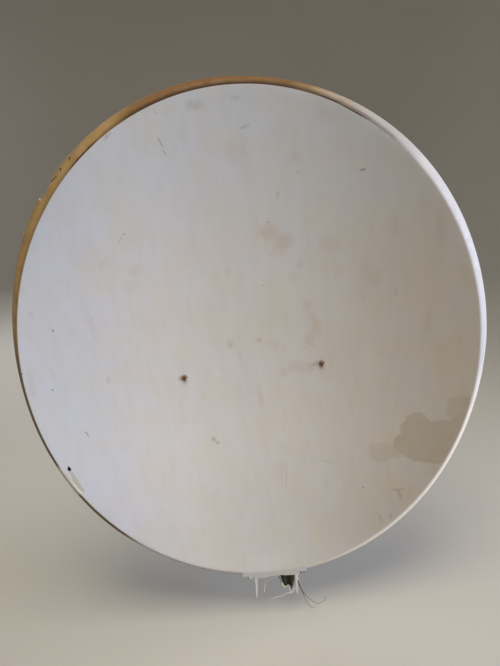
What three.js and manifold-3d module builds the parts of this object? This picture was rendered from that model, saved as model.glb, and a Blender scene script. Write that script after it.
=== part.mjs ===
import * as THREE from 'three';
import { mergeVertices } from 'three/addons/utils/BufferGeometryUtils.js';
import Module from 'manifold-3d';

// Offset satellite dish reflector, moulded in glass-fibre reinforced polyester, with its rear frame.
// Millimetres, +Z up. The rim stands upright and the bowl looks along -Y. Sizes are given in the
// rim's own frame: x right, y back, z up from the middle of the rim. The origin of the part lies
// on the rear face of the mounting plate.

// Reflector
const RIM_WIDTH = 928;
const RIM_HEIGHT = 1051;
const FOCAL_LENGTH = 484;
const SHELL_THICKNESS = 4;
const BOWL_RINGS = 10;
const BOWL_STEPS = 72;

// Clearance between pieces that touch
const GAP = 0.3;

// Rim flange: an arc that turns outward and back from the edge of the bowl, in degrees
const FLARE_RADIUS = 28.9;
const FLARE_START = 20;
const FLARE_BACK_START = 24;
const FLARE_END = 70;
const FLARE_STEPS = 4;
const FLANGE_THICKNESS = 4;

// Uneven width of the flange beyond its root, as a share for every 20 degrees round the rim
const FLANGE_ROOT = 4;
const FLANGE_SHARES = [
  1.14, 1.14, 1.14, 0.9, 0.6, 0.86, 1.1, 1.24, 0.84,
  0.45, 0.7, 0.92, 0.82, 1.12, 1.25, 1.3, 1.1, 0.95,
];

// Flat lip at the foot of the rim, where the feed arm was bolted on
const LIP_LEFT = -75.7;
const LIP_RIGHT = 77.7;
const LIP_FOOT = -546;
const LIP_FOOT_LINE = [
  [LIP_LEFT, -531], [-70, -540], [-62, -545], [-45, LIP_FOOT], [-19, LIP_FOOT], [-13.5, -540.7],
  [8, -540.7], [20, -543.5], [36, LIP_FOOT], [62, LIP_FOOT], [70, -541], [LIP_RIGHT, -536],
];
const LIP_STEPS = 12;
const LIP_HOLE = { x: 65, z: -537, radius: 3.5 };

// Gap in the flange that takes the lip
const FOOT_CUT = { left: LIP_LEFT - GAP, right: LIP_RIGHT + GAP, top: -450, bottom: -700 };

// Torn pieces that hang from the lip; the strip's outline is half its width, and a share of its length
const STRIP = { length: 60, front: 0.5, thickness: 1.6, x: { left: -46, right: 51.5 } };
const STRIP_OUTLINE = [[4, 0], [3, 0.2], [3.6, 0.35], [2.6, 0.6], [1.6, 1]];
const FLAP_THICKNESS = 1.5;
const FLAP_OUTLINE = [[11, -530], [47, -530], [46, -556], [42, -578], [33, -571], [22, -566], [15, -552]];

// Tear beside the rim: place round the rim in degrees, and distance in from its edge
const TEAR = [
  [-158.3, 14.5], [-156.4, 17.7], [-155, 19], [-153.5, 18.7], [-151.9, 14.7],
  [-150.3, 7], [-151.9, 3.7], [-154.4, 7], [-156.2, 10.2],
];

// Bite out of the flange: degrees round the rim, and distances out from it
const BITE = { from: 131.9, slant: 0.5, to: 137.3, near: 10.5, far: 12, beyond: 40 };

// Face bolts and the bosses behind them
const BOLT_X = 152;
const BOLT_Z = -46;
const BOLT_LIFT = 1.5;
const BOSS = { radius: 25, front: 60, back: 104 };

// Rear frame of square tube
const TUBE_WALL = 2;
const LEG = { width: 25, depth: 20, top: -18, bottom: -440, aimX: LIP_HOLE.x, aimZ: LIP_HOLE.z };
const CROSS = { height: 40, depth: 25 };
const TOP_CROSS = { halfLength: 190, z: BOLT_Z };
const LOW_CROSS = { halfLength: 152, z: -206 };
const ARM_HOLE = { z: -424, radius: 4.5 };

// Mounting plate
const PLATE = { width: 170, height: 210, thickness: 6, corner: 12, z: -126 };
const PLATE_BOLT_X = 62;
const MAST_HOLE = { x: 35, z: 40, radius: 5.25 };

// Fasteners: radii and heights, with the tail as the thread that stands out past the last piece
const M6 = { shank: 3, hole: 3.3, head: 6.25, headHeight: 4, nut: 5.77, nutHeight: 5, tail: 9 };
const M8 = { shank: 4, hole: 4.3, head: 7.5, headHeight: 5.3, nut: 7.5, nutHeight: 6.5, tail: 10 };
const PAN = { recess: 2.4, recessDepth: 2, crown: 3.8, shoulder: 1.2, edge: 5.65, skirt: 1 };
const WASHER = { radius: 9, thickness: 1.6 };

// Planes of the frame, going back from the bosses
const LEG_FRONT = BOSS.back + GAP;
const LEG_BACK = LEG_FRONT + LEG.depth;
const CROSS_FRONT = LEG_BACK + GAP;
const CROSS_BACK = CROSS_FRONT + CROSS.depth;
const PLATE_FRONT = CROSS_BACK + GAP;
const MOUNT_FACE = PLATE_FRONT + PLATE.thickness;
const WASHER_BACK = CROSS_BACK + GAP + WASHER.thickness;

// Rim and paraboloid: the rim is cut across the paraboloid at the offset angle
const RADIUS = RIM_WIDTH / 2;
const COS_OFFSET = RIM_WIDTH / RIM_HEIGHT;
const SIN_OFFSET = Math.sqrt(1 - COS_OFFSET ** 2);
const HALF_HEIGHT = RIM_HEIGHT / 2;

// A cutter starts in front of the whole part and ends behind it
const CUTTER_FRONT = -50;
const CUTTER_DEPTH = 300;

// Length by which a bore runs past its tube, and a shank into its head
const OVERRUN = 1;

const GELCOAT = new THREE.MeshStandardMaterial({ color: 0xbdbab4, roughness: 0.55, metalness: 0 });
const AGED_GELCOAT = new THREE.MeshStandardMaterial({ color: 0x9c7f58, roughness: 0.65, metalness: 0 });
const LAMINATE = new THREE.MeshStandardMaterial({ color: 0xd6cfbf, roughness: 0.8, metalness: 0 });
const DARK_LAMINATE = new THREE.MeshStandardMaterial({ color: 0x3b3a2a, roughness: 0.85, metalness: 0 });
const RUSTY_STEEL = new THREE.MeshStandardMaterial({ color: 0x7b5a40, roughness: 0.7, metalness: 0.6 });
const ZINC_STEEL = new THREE.MeshStandardMaterial({ color: 0x9da1a3, roughness: 0.5, metalness: 0.8 });
const GALVANISED = new THREE.MeshStandardMaterial({ color: 0x8f9496, roughness: 0.55, metalness: 0.7 });

const wasm = await Module();
wasm.setup();

const radians = THREE.MathUtils.degToRad;
const SIDES = { left: -1, right: 1 };

// Merged vertices, no collapsed triangles, faces outward
function closed(source) {
  const bare = source.clone();
  bare.deleteAttribute('normal');
  bare.deleteAttribute('uv');
  const merged = mergeVertices(bare, 1e-4);
  const corner = [0, 1, 2].map(() => new THREE.Vector3());
  const kept = [];
  let volume = 0;
  for (let i = 0; i < merged.index.count; i += 3) {
    const face = [0, 1, 2].map((k) => merged.index.getX(i + k));
    if (new Set(face).size < 3) continue;
    kept.push(...face);
    face.forEach((vertex, k) => corner[k].fromBufferAttribute(merged.attributes.position, vertex));
    volume += corner[0].dot(corner[1].clone().cross(corner[2]));
  }
  merged.setIndex(volume < 0 ? kept.reverse() : kept);
  return merged;
}

function solidOf(geometry) {
  const source = closed(geometry);
  return new wasm.Manifold(new wasm.Mesh({
    numProp: 3,
    vertProperties: Float32Array.from(source.attributes.position.array),
    triVerts: Uint32Array.from(source.index.array),
  }));
}

function geometryOf(solid) {
  const mesh = solid.getMesh();
  const geometry = new THREE.BufferGeometry();
  geometry.setAttribute('position', new THREE.BufferAttribute(mesh.vertProperties, 3));
  geometry.setIndex(new THREE.BufferAttribute(mesh.triVerts, 1));
  return geometry;
}

function cut(geometry, tools) {
  return geometryOf(tools.reduce((left, tool) => left.subtract(solidOf(tool)), solidOf(geometry)));
}

// Moves every vertex of a geometry by a function of its place
function mapped(geometry, place) {
  const position = geometry.attributes.position;
  for (let i = 0; i < position.count; i += 1) {
    position.setXYZ(i, ...place(position.getX(i), position.getY(i), position.getZ(i), i));
  }
  return geometry;
}

// A flat outline in x and z, thickened along y
function slab(shape, front, depth, curveSegments = 12) {
  const geometry = new THREE.ExtrudeGeometry(shape, { depth, bevelEnabled: false, curveSegments });
  return geometry.rotateX(Math.PI / 2).translate(0, front + depth, 0);
}

function outline(points) {
  return new THREE.Shape(points.map(([x, z]) => new THREE.Vector2(x, z)));
}

function disc(radius, x = 0, z = 0) {
  const shape = new THREE.Shape();
  shape.absarc(x, z, radius, 0, 2 * Math.PI);
  return shape;
}

function hexagon(radius) {
  const corners = Array.from({ length: 6 }, (_, k) => radians(60 * k));
  return outline(corners.map((turn) => [radius * Math.cos(turn), radius * Math.sin(turn)]));
}

// A cutter that goes right through along y
function through(shape, curveSegments = 12) {
  return slab(shape, CUTTER_FRONT, CUTTER_DEPTH, curveSegments);
}

function drill(x, z, radius) {
  return through(disc(radius, x, z), 6);
}

// Point on the rim's ellipse, grown outward by a distance
function rimPoint(degrees, grow = 0) {
  const turn = radians(degrees);
  return [(RADIUS + grow) * Math.cos(turn), (HALF_HEIGHT + grow) * Math.sin(turn)];
}

// Depth of the bowl's face behind the rim plane
function bowlDepth(x, z) {
  const square = (COS_OFFSET * SIN_OFFSET) ** 2;
  const linear = 4 * FOCAL_LENGTH + 2 * COS_OFFSET ** 2 * SIN_OFFSET * z;
  const rest = (COS_OFFSET * z) ** 2 + x ** 2 - RADIUS ** 2;
  const along = (Math.sqrt(linear ** 2 - 4 * square * rest) - linear) / (2 * square);
  return along * COS_OFFSET;
}

// Bowl between two skins, each a distance behind the face
function bowl(frontOffset, backOffset) {
  const skin = Array.from({ length: BOWL_RINGS + 1 }, (_, k) => {
    const r = (RADIUS * k) / BOWL_RINGS;
    return new THREE.Vector2(r, (RADIUS ** 2 - r ** 2) / (4 * FOCAL_LENGTH));
  });
  const profile = [...skin, ...skin.toReversed()];
  const lathe = new THREE.LatheGeometry(profile, BOWL_STEPS);
  return mapped(lathe, (a, depth, b, i) => {
    const offset = i % profile.length < skin.length ? frontOffset : backOffset;
    return [a, depth * COS_OFFSET + offset, b / COS_OFFSET - depth * SIN_OFFSET];
  });
}

// Leaf-shaped tear just inside the rim
function tearCutter() {
  return through(outline(TEAR.map(([degrees, inset]) => rimPoint(degrees, -inset))));
}

function reflectorShell() {
  const drills = Object.values(SIDES).map((side) => drill(side * BOLT_X, BOLT_Z, M6.hole));
  return cut(bowl(0, SHELL_THICKNESS), [tearCutter(), ...drills]);
}

// Ragged notch in the outer edge of the flange
function biteCutter() {
  return through(outline([
    rimPoint(BITE.from, BITE.near), rimPoint(BITE.from - BITE.slant, BITE.beyond),
    rimPoint(BITE.to, BITE.beyond), rimPoint(BITE.to, BITE.far),
  ]));
}

// Share of its width that the flange has at an angle round the rim
function flangeShare(turn) {
  const count = FLANGE_SHARES.length;
  const place = (THREE.MathUtils.euclideanModulo(turn, 2 * Math.PI) * count) / (2 * Math.PI);
  const before = Math.floor(place);
  const [low, high] = [before, before + 1].map((k) => FLANGE_SHARES[k % count]);
  return THREE.MathUtils.lerp(low, high, place - before);
}

// Flange ring round the rim, open at the foot, with a bite out of its edge
function rimFlange() {
  const start = radians(FLARE_START);
  const arc = (radius, from) => Array.from({ length: FLARE_STEPS + 1 }, (_, k) => {
    const turn = radians(THREE.MathUtils.lerp(from, FLARE_END, k / FLARE_STEPS));
    const grow = radius * Math.sin(turn) - FLARE_RADIUS * Math.sin(start) + GAP;
    const depth = FLARE_RADIUS * Math.cos(start) - radius * Math.cos(turn);
    return new THREE.Vector2(RADIUS + grow, depth);
  });
  const front = arc(FLARE_RADIUS, FLARE_START);
  const back = arc(FLARE_RADIUS - FLANGE_THICKNESS, FLARE_BACK_START);
  const lathe = new THREE.LatheGeometry([...front, ...back.toReversed(), front[0]], BOWL_STEPS);
  const reach = [...front, ...front.toReversed(), front[0]].map((p) => p.x - RADIUS - FLANGE_ROOT);
  const stretch = HALF_HEIGHT - RADIUS;
  mapped(lathe, (x, y, z, i) => {
    const r = Math.hypot(x, z);
    const wider = (flangeShare(Math.atan2(z, x)) - 1) * Math.max(reach[i % reach.length], 0);
    return [(x * (r + wider)) / r, y, (z * (r + wider + stretch)) / r];
  });
  const { left, right, top, bottom } = FOOT_CUT;
  const foot = through(outline([[left, bottom], [right, bottom], [right, top], [left, top]]));
  return cut(lathe, [foot, biteCutter()]);
}

// Flat lip with two fixing holes and a ragged foot
function bottomLip() {
  const width = RADIUS + GAP;
  const height = HALF_HEIGHT + GAP;
  const [rimFrom, rimTo] = [LIP_LEFT, LIP_RIGHT].map((x) => Math.acos(x / width));
  const top = Array.from({ length: LIP_STEPS + 1 }, (_, k) => {
    const turn = THREE.MathUtils.lerp(rimTo, rimFrom, k / LIP_STEPS);
    return [width * Math.cos(turn), -height * Math.sin(turn)];
  });
  const shape = outline([...LIP_FOOT_LINE, ...top]);
  shape.holes = Object.values(SIDES).map((side) => disc(LIP_HOLE.radius, side * LIP_HOLE.x, LIP_HOLE.z));
  return slab(shape, 0, SHELL_THICKNESS, 8);
}

// Strip of skin torn loose and hanging from the lip
function tornStrip(x) {
  const top = LIP_FOOT - GAP;
  const place = (side, [offset, share]) => [x + side * offset, top - share * STRIP.length];
  const edge = (side) => STRIP_OUTLINE.map((point) => place(side, point));
  return slab(outline([...edge(-1), ...edge(1).toReversed()]), STRIP.front, STRIP.thickness);
}

// Flap of dark inner mat that hangs behind the lip
function tornFlap() {
  return slab(outline(FLAP_OUTLINE), SHELL_THICKNESS + GAP, FLAP_THICKNESS);
}

// Moulded boss, from the back of the bowl to a flat seat
function boss(side) {
  const blank = slab(disc(BOSS.radius, side * BOLT_X, BOLT_Z), BOSS.front, BOSS.back - BOSS.front, 6);
  const bowlAndFront = bowl(-RADIUS, SHELL_THICKNESS + GAP);
  return cut(blank, [bowlAndFront, drill(side * BOLT_X, BOLT_Z, M6.hole)]);
}

// Cross tube lying along x
function crossTube({ halfLength, z }, holes) {
  const block = (length, depth, height) => new THREE.BoxGeometry(length, depth, height)
    .translate(0, CROSS_FRONT + CROSS.depth / 2, z);
  const walls = 2 * TUBE_WALL;
  const bore = block(2 * (halfLength + OVERRUN), CROSS.depth - walls, CROSS.height - walls);
  const drills = holes.map(([x, radius]) => drill(x, z, radius));
  return cut(block(2 * halfLength, CROSS.depth, CROSS.height), [bore, ...drills]);
}

// Place of a leg's centre line at a height
function legX(z) {
  return THREE.MathUtils.mapLinear(z, BOLT_Z, LEG.aimZ, BOLT_X, LEG.aimX);
}

function leg(side) {
  const lean = Math.atan2(BOLT_X - LEG.aimX, BOLT_Z - LEG.aimZ);
  const middle = (LEG.top + LEG.bottom) / 2;
  const length = (LEG.top - LEG.bottom) / Math.cos(lean);
  const tube = (width, depth, height) => new THREE.BoxGeometry(width, depth, height)
    .rotateY(side * lean).translate(side * legX(middle), LEG_FRONT + LEG.depth / 2, middle);
  const walls = 2 * TUBE_WALL;
  return cut(tube(LEG.width, LEG.depth, length), [
    tube(LEG.width - walls, LEG.depth - walls, length + 2 * OVERRUN),
    drill(side * BOLT_X, BOLT_Z, M6.hole),
    drill(side * legX(LOW_CROSS.z), LOW_CROSS.z, M6.hole),
    drill(side * legX(ARM_HOLE.z), ARM_HOLE.z, ARM_HOLE.radius),
  ]);
}

function mountingPlate() {
  const { width, height, corner, thickness } = PLATE;
  const [x, z] = [width / 2 - corner, height / 2 - corner];
  const quarter = Math.PI / 2;
  const shape = new THREE.Shape();
  [[x, z], [-x, z], [-x, -z], [x, -z]].forEach(([cornerX, cornerZ], k) => {
    shape.absarc(cornerX, cornerZ, corner, k * quarter, (k + 1) * quarter);
  });
  const blank = slab(shape, PLATE_FRONT, thickness, 4).translate(0, 0, PLATE.z);
  const holes = [];
  for (const side of Object.values(SIDES)) {
    for (const { z: level } of [TOP_CROSS, LOW_CROSS]) holes.push(drill(side * PLATE_BOLT_X, level, M8.hole));
    for (const up of [-1, 1]) {
      holes.push(drill(side * MAST_HOLE.x, PLATE.z + up * MAST_HOLE.z, MAST_HOLE.radius));
    }
  }
  return cut(blank, holes);
}

// Domed head with a round recess, on a shank that runs back along y
function pannedBolt(seat, tail) {
  const { head, headHeight, shank } = M6;
  const top = seat - headHeight;
  const profile = [
    [0, top + PAN.recessDepth], [PAN.recess, top + PAN.recessDepth], [PAN.recess, top], [PAN.crown, top],
    [PAN.edge, top + PAN.shoulder], [head, seat - PAN.skirt], [head, seat],
    [shank, seat], [shank, tail], [0, tail],
  ];
  return new THREE.LatheGeometry(profile.map(([r, y]) => new THREE.Vector2(r, y)), 18);
}

// Hexagon head in front of its seat, on a shank that runs back along y
function hexBolt(size, seat, tail) {
  const head = slab(hexagon(size.head), seat - size.headHeight, size.headHeight);
  const shank = slab(disc(size.shank), seat - OVERRUN, tail - seat + OVERRUN, 6);
  return geometryOf(solidOf(head).add(solidOf(shank)));
}

function nut(size, front) {
  const shape = hexagon(size.nut);
  shape.holes.push(disc(size.hole));
  return slab(shape, front, size.nutHeight, 6);
}

function washer(front) {
  const shape = disc(WASHER.radius);
  shape.holes.push(disc(M6.hole));
  return slab(shape, front, WASHER.thickness, 8);
}

const dish = new THREE.Group();
dish.position.set(0, -MOUNT_FACE, -PLATE.z);

function add(name, geometry, material, x = 0, z = 0) {
  const mesh = new THREE.Mesh(closed(geometry), material);
  mesh.name = name;
  mesh.position.set(x, 0, z);
  dish.add(mesh);
}

// Holes of a cross tube: one for each leg, and two for the plate
function crossHoles(legAt) {
  return [[-legAt, M6.hole], [-PLATE_BOLT_X, M8.hole], [PLATE_BOLT_X, M8.hole], [legAt, M6.hole]];
}

add('reflector_shell', reflectorShell(), GELCOAT);
add('rim_flange', rimFlange(), AGED_GELCOAT);
add('bottom_lip', bottomLip(), GELCOAT);
add('torn_flap', tornFlap(), DARK_LAMINATE);
for (const [name, x] of Object.entries(STRIP.x)) add(`torn_strip_${name}`, tornStrip(x), LAMINATE);
add('top_cross_tube', crossTube(TOP_CROSS, crossHoles(BOLT_X)), GALVANISED);
add('low_cross_tube', crossTube(LOW_CROSS, crossHoles(legX(LOW_CROSS.z))), GALVANISED);
add('mounting_plate', mountingPlate(), GALVANISED);

for (const [name, side] of Object.entries(SIDES)) {
  const seat = bowlDepth(side * BOLT_X, BOLT_Z) - BOLT_LIFT;
  const lowX = side * legX(LOW_CROSS.z);
  const tail = WASHER_BACK + M6.tail;
  add(`boss_${name}`, boss(side), GELCOAT);
  add(`leg_${name}`, leg(side), GALVANISED);
  add(`face_bolt_${name}`, pannedBolt(seat, tail), RUSTY_STEEL, side * BOLT_X, BOLT_Z);
  add(`face_washer_${name}`, washer(CROSS_BACK + GAP), ZINC_STEEL, side * BOLT_X, BOLT_Z);
  add(`face_nut_${name}`, nut(M6, WASHER_BACK + GAP), ZINC_STEEL, side * BOLT_X, BOLT_Z);
  add(`leg_bolt_${name}`, hexBolt(M6, LEG_FRONT - GAP, tail), ZINC_STEEL, lowX, LOW_CROSS.z);
  add(`leg_nut_${name}`, nut(M6, CROSS_BACK + GAP), ZINC_STEEL, lowX, LOW_CROSS.z);
  for (const [row, cross] of Object.entries({ top: TOP_CROSS, low: LOW_CROSS })) {
    const place = [side * PLATE_BOLT_X, cross.z];
    const bolt = hexBolt(M8, CROSS_FRONT - GAP, MOUNT_FACE + M8.tail);
    add(`plate_bolt_${row}_${name}`, bolt, ZINC_STEEL, ...place);
    add(`plate_nut_${row}_${name}`, nut(M8, MOUNT_FACE + GAP), ZINC_STEEL, ...place);
  }
}

export default dish;
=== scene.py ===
"""Offset satellite dish reflector in moulded glass-fibre polyester, weathered and torn, with its rear frame."""
import logging
import math
import random
from abc import ABC, abstractmethod
from collections.abc import Sequence
from dataclasses import dataclass
from enum import Enum

import bmesh
import bpy
from bmesh.types import BMesh, BMFace, BMVert
from bpy.types import Material, NodeSocket, NodeTree, Object, ShaderNode
from mathutils import Euler, Matrix, Vector, noise


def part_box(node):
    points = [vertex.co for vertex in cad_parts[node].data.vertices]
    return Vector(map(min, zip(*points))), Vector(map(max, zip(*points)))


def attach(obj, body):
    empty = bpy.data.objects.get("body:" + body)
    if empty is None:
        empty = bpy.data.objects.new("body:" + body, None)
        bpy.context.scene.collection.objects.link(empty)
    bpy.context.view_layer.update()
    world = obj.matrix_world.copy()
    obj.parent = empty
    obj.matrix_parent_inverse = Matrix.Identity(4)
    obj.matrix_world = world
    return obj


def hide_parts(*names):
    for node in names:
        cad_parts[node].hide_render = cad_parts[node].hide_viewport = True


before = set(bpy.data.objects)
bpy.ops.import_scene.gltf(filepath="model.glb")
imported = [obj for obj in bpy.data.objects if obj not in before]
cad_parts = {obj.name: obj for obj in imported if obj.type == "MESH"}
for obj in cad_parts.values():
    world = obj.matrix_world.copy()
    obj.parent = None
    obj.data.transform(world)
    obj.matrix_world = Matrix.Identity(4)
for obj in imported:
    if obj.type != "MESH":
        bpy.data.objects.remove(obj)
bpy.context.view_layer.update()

log = logging.getLogger("dish")

MM = 0.001
# Distances in millimetres under which points are merged, or count as level or joined.
WELD = 1e-4
NEAR = 1e-3
POLYESTER_IOR = 1.5
GLASS_MAT_IOR = 1.52
# A pair of ends or sizes, a point in x and z, and a place or three sizes in x, y and z.
Span = tuple[float, float]
Point = tuple[float, float]
Place = tuple[float, float, float]
Inputs = dict[str | int, NodeSocket | float | tuple]


class Skin(Enum):
    """Faces of the moulding, by the number of their material."""

    FRONT = 0
    RIM = 1
    BACK = 2
    BROKEN = 3
    # Cut faces of cracks, punctures, holes and the pit, near black: dirt and painted shade.
    CRACK = 4


class Side(Enum):
    """The two sides of the dish, seen from the front."""

    LEFT = -1
    RIGHT = 1

    @property
    def word(self) -> str:
        """The side as it stands in a piece's name."""
        return self.name.lower()


@dataclass(frozen=True)
class DishForm:
    """Form of the moulding in millimetres, in the rim's own frame: x right, y back, z up from its middle.

    The bowl is a paraboloid, cut off by the rim plane at the offset angle. Outside the rim the skin
    turns back along an arc, the flare. The collar is the part of it that belongs to the bowl's piece.
    The flange is uneven: its shares are its width at every ten degrees round the rim, from the right
    and over the top, against the width of an even one.
    """

    half_width: float
    half_height: float
    middle: Vector
    focal_length: float = 484.0
    thickness: float = 4.0
    flare_radius: float = 28.9
    flare_start: float = math.radians(20)
    flare_end: float = math.radians(70)
    collar: float = 4.0
    flange_shares: tuple[float, ...] = (
        1.14, 1.15, 1.14, 1.16, 1.14, 1.05, 0.9, 0.72, 0.6, 0.69, 0.86, 0.99, 1.1, 1.2, 1.24, 1.06, 0.84, 0.62,
        0.45, 0.5, 0.58, 0.75, 0.88, 0.88, 0.82, 0.96, 1.12, 1.2, 1.25, 1.3, 1.3, 1.2, 1.1, 1.02, 0.95, 1.02,
    )

    @classmethod
    def from_frame(cls) -> "DishForm":
        """Read the rim's size and place from the bowl's solid."""
        low, high = (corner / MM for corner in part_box("reflector_shell"))
        middle = Vector(((low.x + high.x) / 2, low.y, (low.z + high.z) / 2))
        return cls((high.x - low.x) / 2, (high.z - low.z) / 2, middle)

    @property
    def to_row(self) -> Matrix:
        """Matrix from the rim's frame in millimetres to the part's frame in metres."""
        return Matrix.Scale(MM, 4) @ Matrix.Translation(self.middle)

    @property
    def bowl_map(self) -> Matrix:
        """Matrix from the paraboloid's axes (across, depth, along) to the rim's frame."""
        cos = self.half_width / self.half_height
        sin = math.sqrt(1 - cos**2)
        return Matrix(((1, 0, 0, 0), (0, cos, 0, 0), (0, -sin, 1 / cos, 0), (0, 0, 0, 1)))

    def sag(self, radius: float) -> float:
        """Depth of the paraboloid below its rim at a radius."""
        return (self.half_width**2 - radius**2) / (4 * self.focal_length)

    def depth(self, x: float, z: float) -> float:
        """Depth of the bowl's face behind the rim plane.

        Args:
            x: Place to the right of the rim's middle.
            z: Place above it.

        Returns:
            The depth in millimetres.
        """
        cos = self.half_width / self.half_height
        sin = math.sqrt(1 - cos**2)
        square = (cos * sin) ** 2
        slope = 4 * self.focal_length + 2 * cos**2 * sin * z
        rest = (cos * z) ** 2 + x**2 - self.half_width**2
        return cos * (math.sqrt(slope**2 - 4 * square * rest) - slope) / (2 * square)

    def flare(self, growth: float, inset: float = 0.0) -> float:
        """Depth of the flare at a distance outside the rim, for the face or for a skin inset behind it."""
        out = growth + self.flare_radius * math.sin(self.flare_start)
        radius = self.flare_radius - inset
        return self.flare_radius * math.cos(self.flare_start) - math.sqrt(max(radius**2 - out**2, 0.0))

    def growth(self, turn: float, inset: float = 0.0) -> float:
        """Distance outside the rim of the flare's arc at an angle."""
        return (self.flare_radius - inset) * math.sin(turn) - self.flare_radius * math.sin(self.flare_start)

    def widening(self, place: Vector) -> float:
        """How much farther out the uneven flange reaches than an even one.

        Args:
            place: Point of the flange before it is stretched to the ellipse.

        Returns:
            The distance in millimetres, negative where the flange is narrow.
        """
        out = math.hypot(place.x, place.z) - self.half_width + self.flare_radius * math.sin(self.flare_start)
        turn = math.atan2(out, self.flare_radius * math.cos(self.flare_start) - place.y)
        count = len(self.flange_shares)
        step = (math.atan2(place.z, place.x) / (2 * math.pi) % 1.0) * count
        low, high = (self.flange_shares[(int(step) + k) % count] for k in (0, 1))
        share = low + (high - low) * (step - int(step))
        return (share - 1) * max(self.growth(turn) - self.collar, 0.0)

    def rim_point(self, degrees: float, growth: float = 0.0) -> Point:
        """Point in x and z at an angle round the rim, grown outward by a distance."""
        turn = math.radians(degrees)
        return ((self.half_width + growth) * math.cos(turn), (self.half_height + growth) * math.sin(turn))


FORM = DishForm.from_frame()
# Where the two screws go through the bowl and where the lip ends, in the rim's frame.
BOLT_X = 152.0
BOLT_Z = -46.0
LIP_LEFT = -75.7
LIP_RIGHT = 77.7


def linear(code: str) -> tuple[float, float, float, float]:
    """Turn an sRGB hex colour into the linear values that shaders take.

    Args:
        code: The colour, such as "#C8C6C0".

    Returns:
        Red, green, blue and an alpha of 1.
    """
    parts = [int(code[k : k + 2], 16) / 255 for k in (1, 3, 5)]
    red, green, blue = (c / 12.92 if c <= 0.04045 else ((c + 0.055) / 1.055) ** 2.4 for c in parts)
    return red, green, blue, 1.0


def add_node(tree: NodeTree, kind: str, inputs: Inputs | None = None, **settings: object) -> ShaderNode:
    """Add a node to a tree, with its settings, values and links.

    Args:
        tree: The material's node tree.
        kind: Blender's name of the node type.
        inputs: A value or a socket for each input, by name or number.
        **settings: Properties of the node.

    Returns:
        The new node.
    """
    node = tree.nodes.new(kind)
    for name, value in settings.items():
        setattr(node, name, value)
    for key, value in (inputs or {}).items():
        if isinstance(value, NodeSocket):
            tree.links.new(value, node.inputs[key])
        else:
            node.inputs[key].default_value = value
    return node


def millimetres(tree: NodeTree) -> NodeSocket:
    """Coordinates in millimetres in the rim's own frame."""
    place = add_node(tree, "ShaderNodeTexCoord").outputs["Object"]
    scaled = add_node(
        tree, "ShaderNodeMapping",
        {"Vector": place, "Scale": (1 / MM, 1 / MM, 1 / MM), "Location": tuple(-FORM.middle)},
    )
    return scaled.outputs["Vector"]


def stretched(tree: NodeTree, coords: NodeSocket, sizes: Place, turn: Place = (0, 0, 0)) -> NodeSocket:
    """Coordinates turned and then squeezed, so that a pattern of unit size becomes long and thin.

    Args:
        tree: The material's node tree.
        coords: Coordinates in millimetres.
        sizes: Length of the pattern along each turned axis.
        turn: Turn about each axis in degrees.

    Returns:
        The new coordinates.
    """
    turned = add_node(
        tree, "ShaderNodeMapping",
        {"Vector": coords, "Scale": sizes, "Rotation": tuple(math.radians(t) for t in turn)},
        vector_type="TEXTURE",
    )
    return turned.outputs["Vector"]


def tinted(tree: NodeTree, base: NodeSocket | tuple, other: NodeSocket | tuple, mask: NodeSocket | float) -> NodeSocket:
    """Lay one colour over another where a mask is high."""
    mixed = add_node(tree, "ShaderNodeMix", {0: mask, 6: base, 7: other}, data_type="RGBA")
    return mixed.outputs[2]


def glazed(tree: NodeTree, base: NodeSocket, glaze: str, mask: NodeSocket | float) -> NodeSocket:
    """Tint a colour with a see-through one where a mask is high, as a stain does."""
    mixed = add_node(tree, "ShaderNodeMix", {0: mask, 6: base, 7: linear(glaze)}, data_type="RGBA",
                     blend_type="MULTIPLY")
    return mixed.outputs[2]


def times(tree: NodeTree, first: NodeSocket | float, second: NodeSocket | float) -> NodeSocket:
    """Product of two values or masks."""
    return add_node(tree, "ShaderNodeMath", {0: first, 1: second}, operation="MULTIPLY").outputs[0]


def larger(tree: NodeTree, first: NodeSocket | float, second: NodeSocket | float) -> NodeSocket:
    """The larger of two masks."""
    return add_node(tree, "ShaderNodeMath", {0: first, 1: second}, operation="MAXIMUM").outputs[0]


def ranged(tree: NodeTree, value: NodeSocket, before: Span, after: Span = (0.0, 1.0)) -> NodeSocket:
    """A value moved smoothly from one range to another, and held at its ends."""
    return add_node(
        tree, "ShaderNodeMapRange",
        {"Value": value, "From Min": before[0], "From Max": before[1], "To Min": after[0], "To Max": after[1]},
        interpolation_type="SMOOTHSTEP",
    ).outputs["Result"]


def bumped(tree: NodeTree, *layers: tuple[NodeSocket, float]) -> NodeSocket:
    """Relief from several height patterns.

    Args:
        tree: The material's node tree.
        *layers: Each pattern with its height in millimetres.

    Returns:
        The normal for the shader.
    """
    normal = None
    for height, depth in layers:
        inputs = {"Height": height, "Distance": depth * MM, "Strength": 1.0}
        if normal is not None:
            inputs["Normal"] = normal
        normal = add_node(tree, "ShaderNodeBump", inputs).outputs["Normal"]
    return normal


@dataclass(frozen=True)
class Finish(ABC):
    """A finish by its name, which each kind paints in its own way."""

    name: str

    @abstractmethod
    def surface(self, tree: NodeTree, coords: NodeSocket) -> Inputs:
        """Inputs of the surface shader, painted over coordinates in millimetres."""

    def material(self) -> Material:
        """Make the material."""
        material = bpy.data.materials.new(self.name)
        material.use_nodes = True
        tree = material.node_tree
        tree.nodes.clear()
        shader = add_node(tree, "ShaderNodeBsdfPrincipled", self.surface(tree, millimetres(tree)))
        add_node(tree, "ShaderNodeOutputMaterial", {"Surface": shader.outputs["BSDF"]})
        return material


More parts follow.
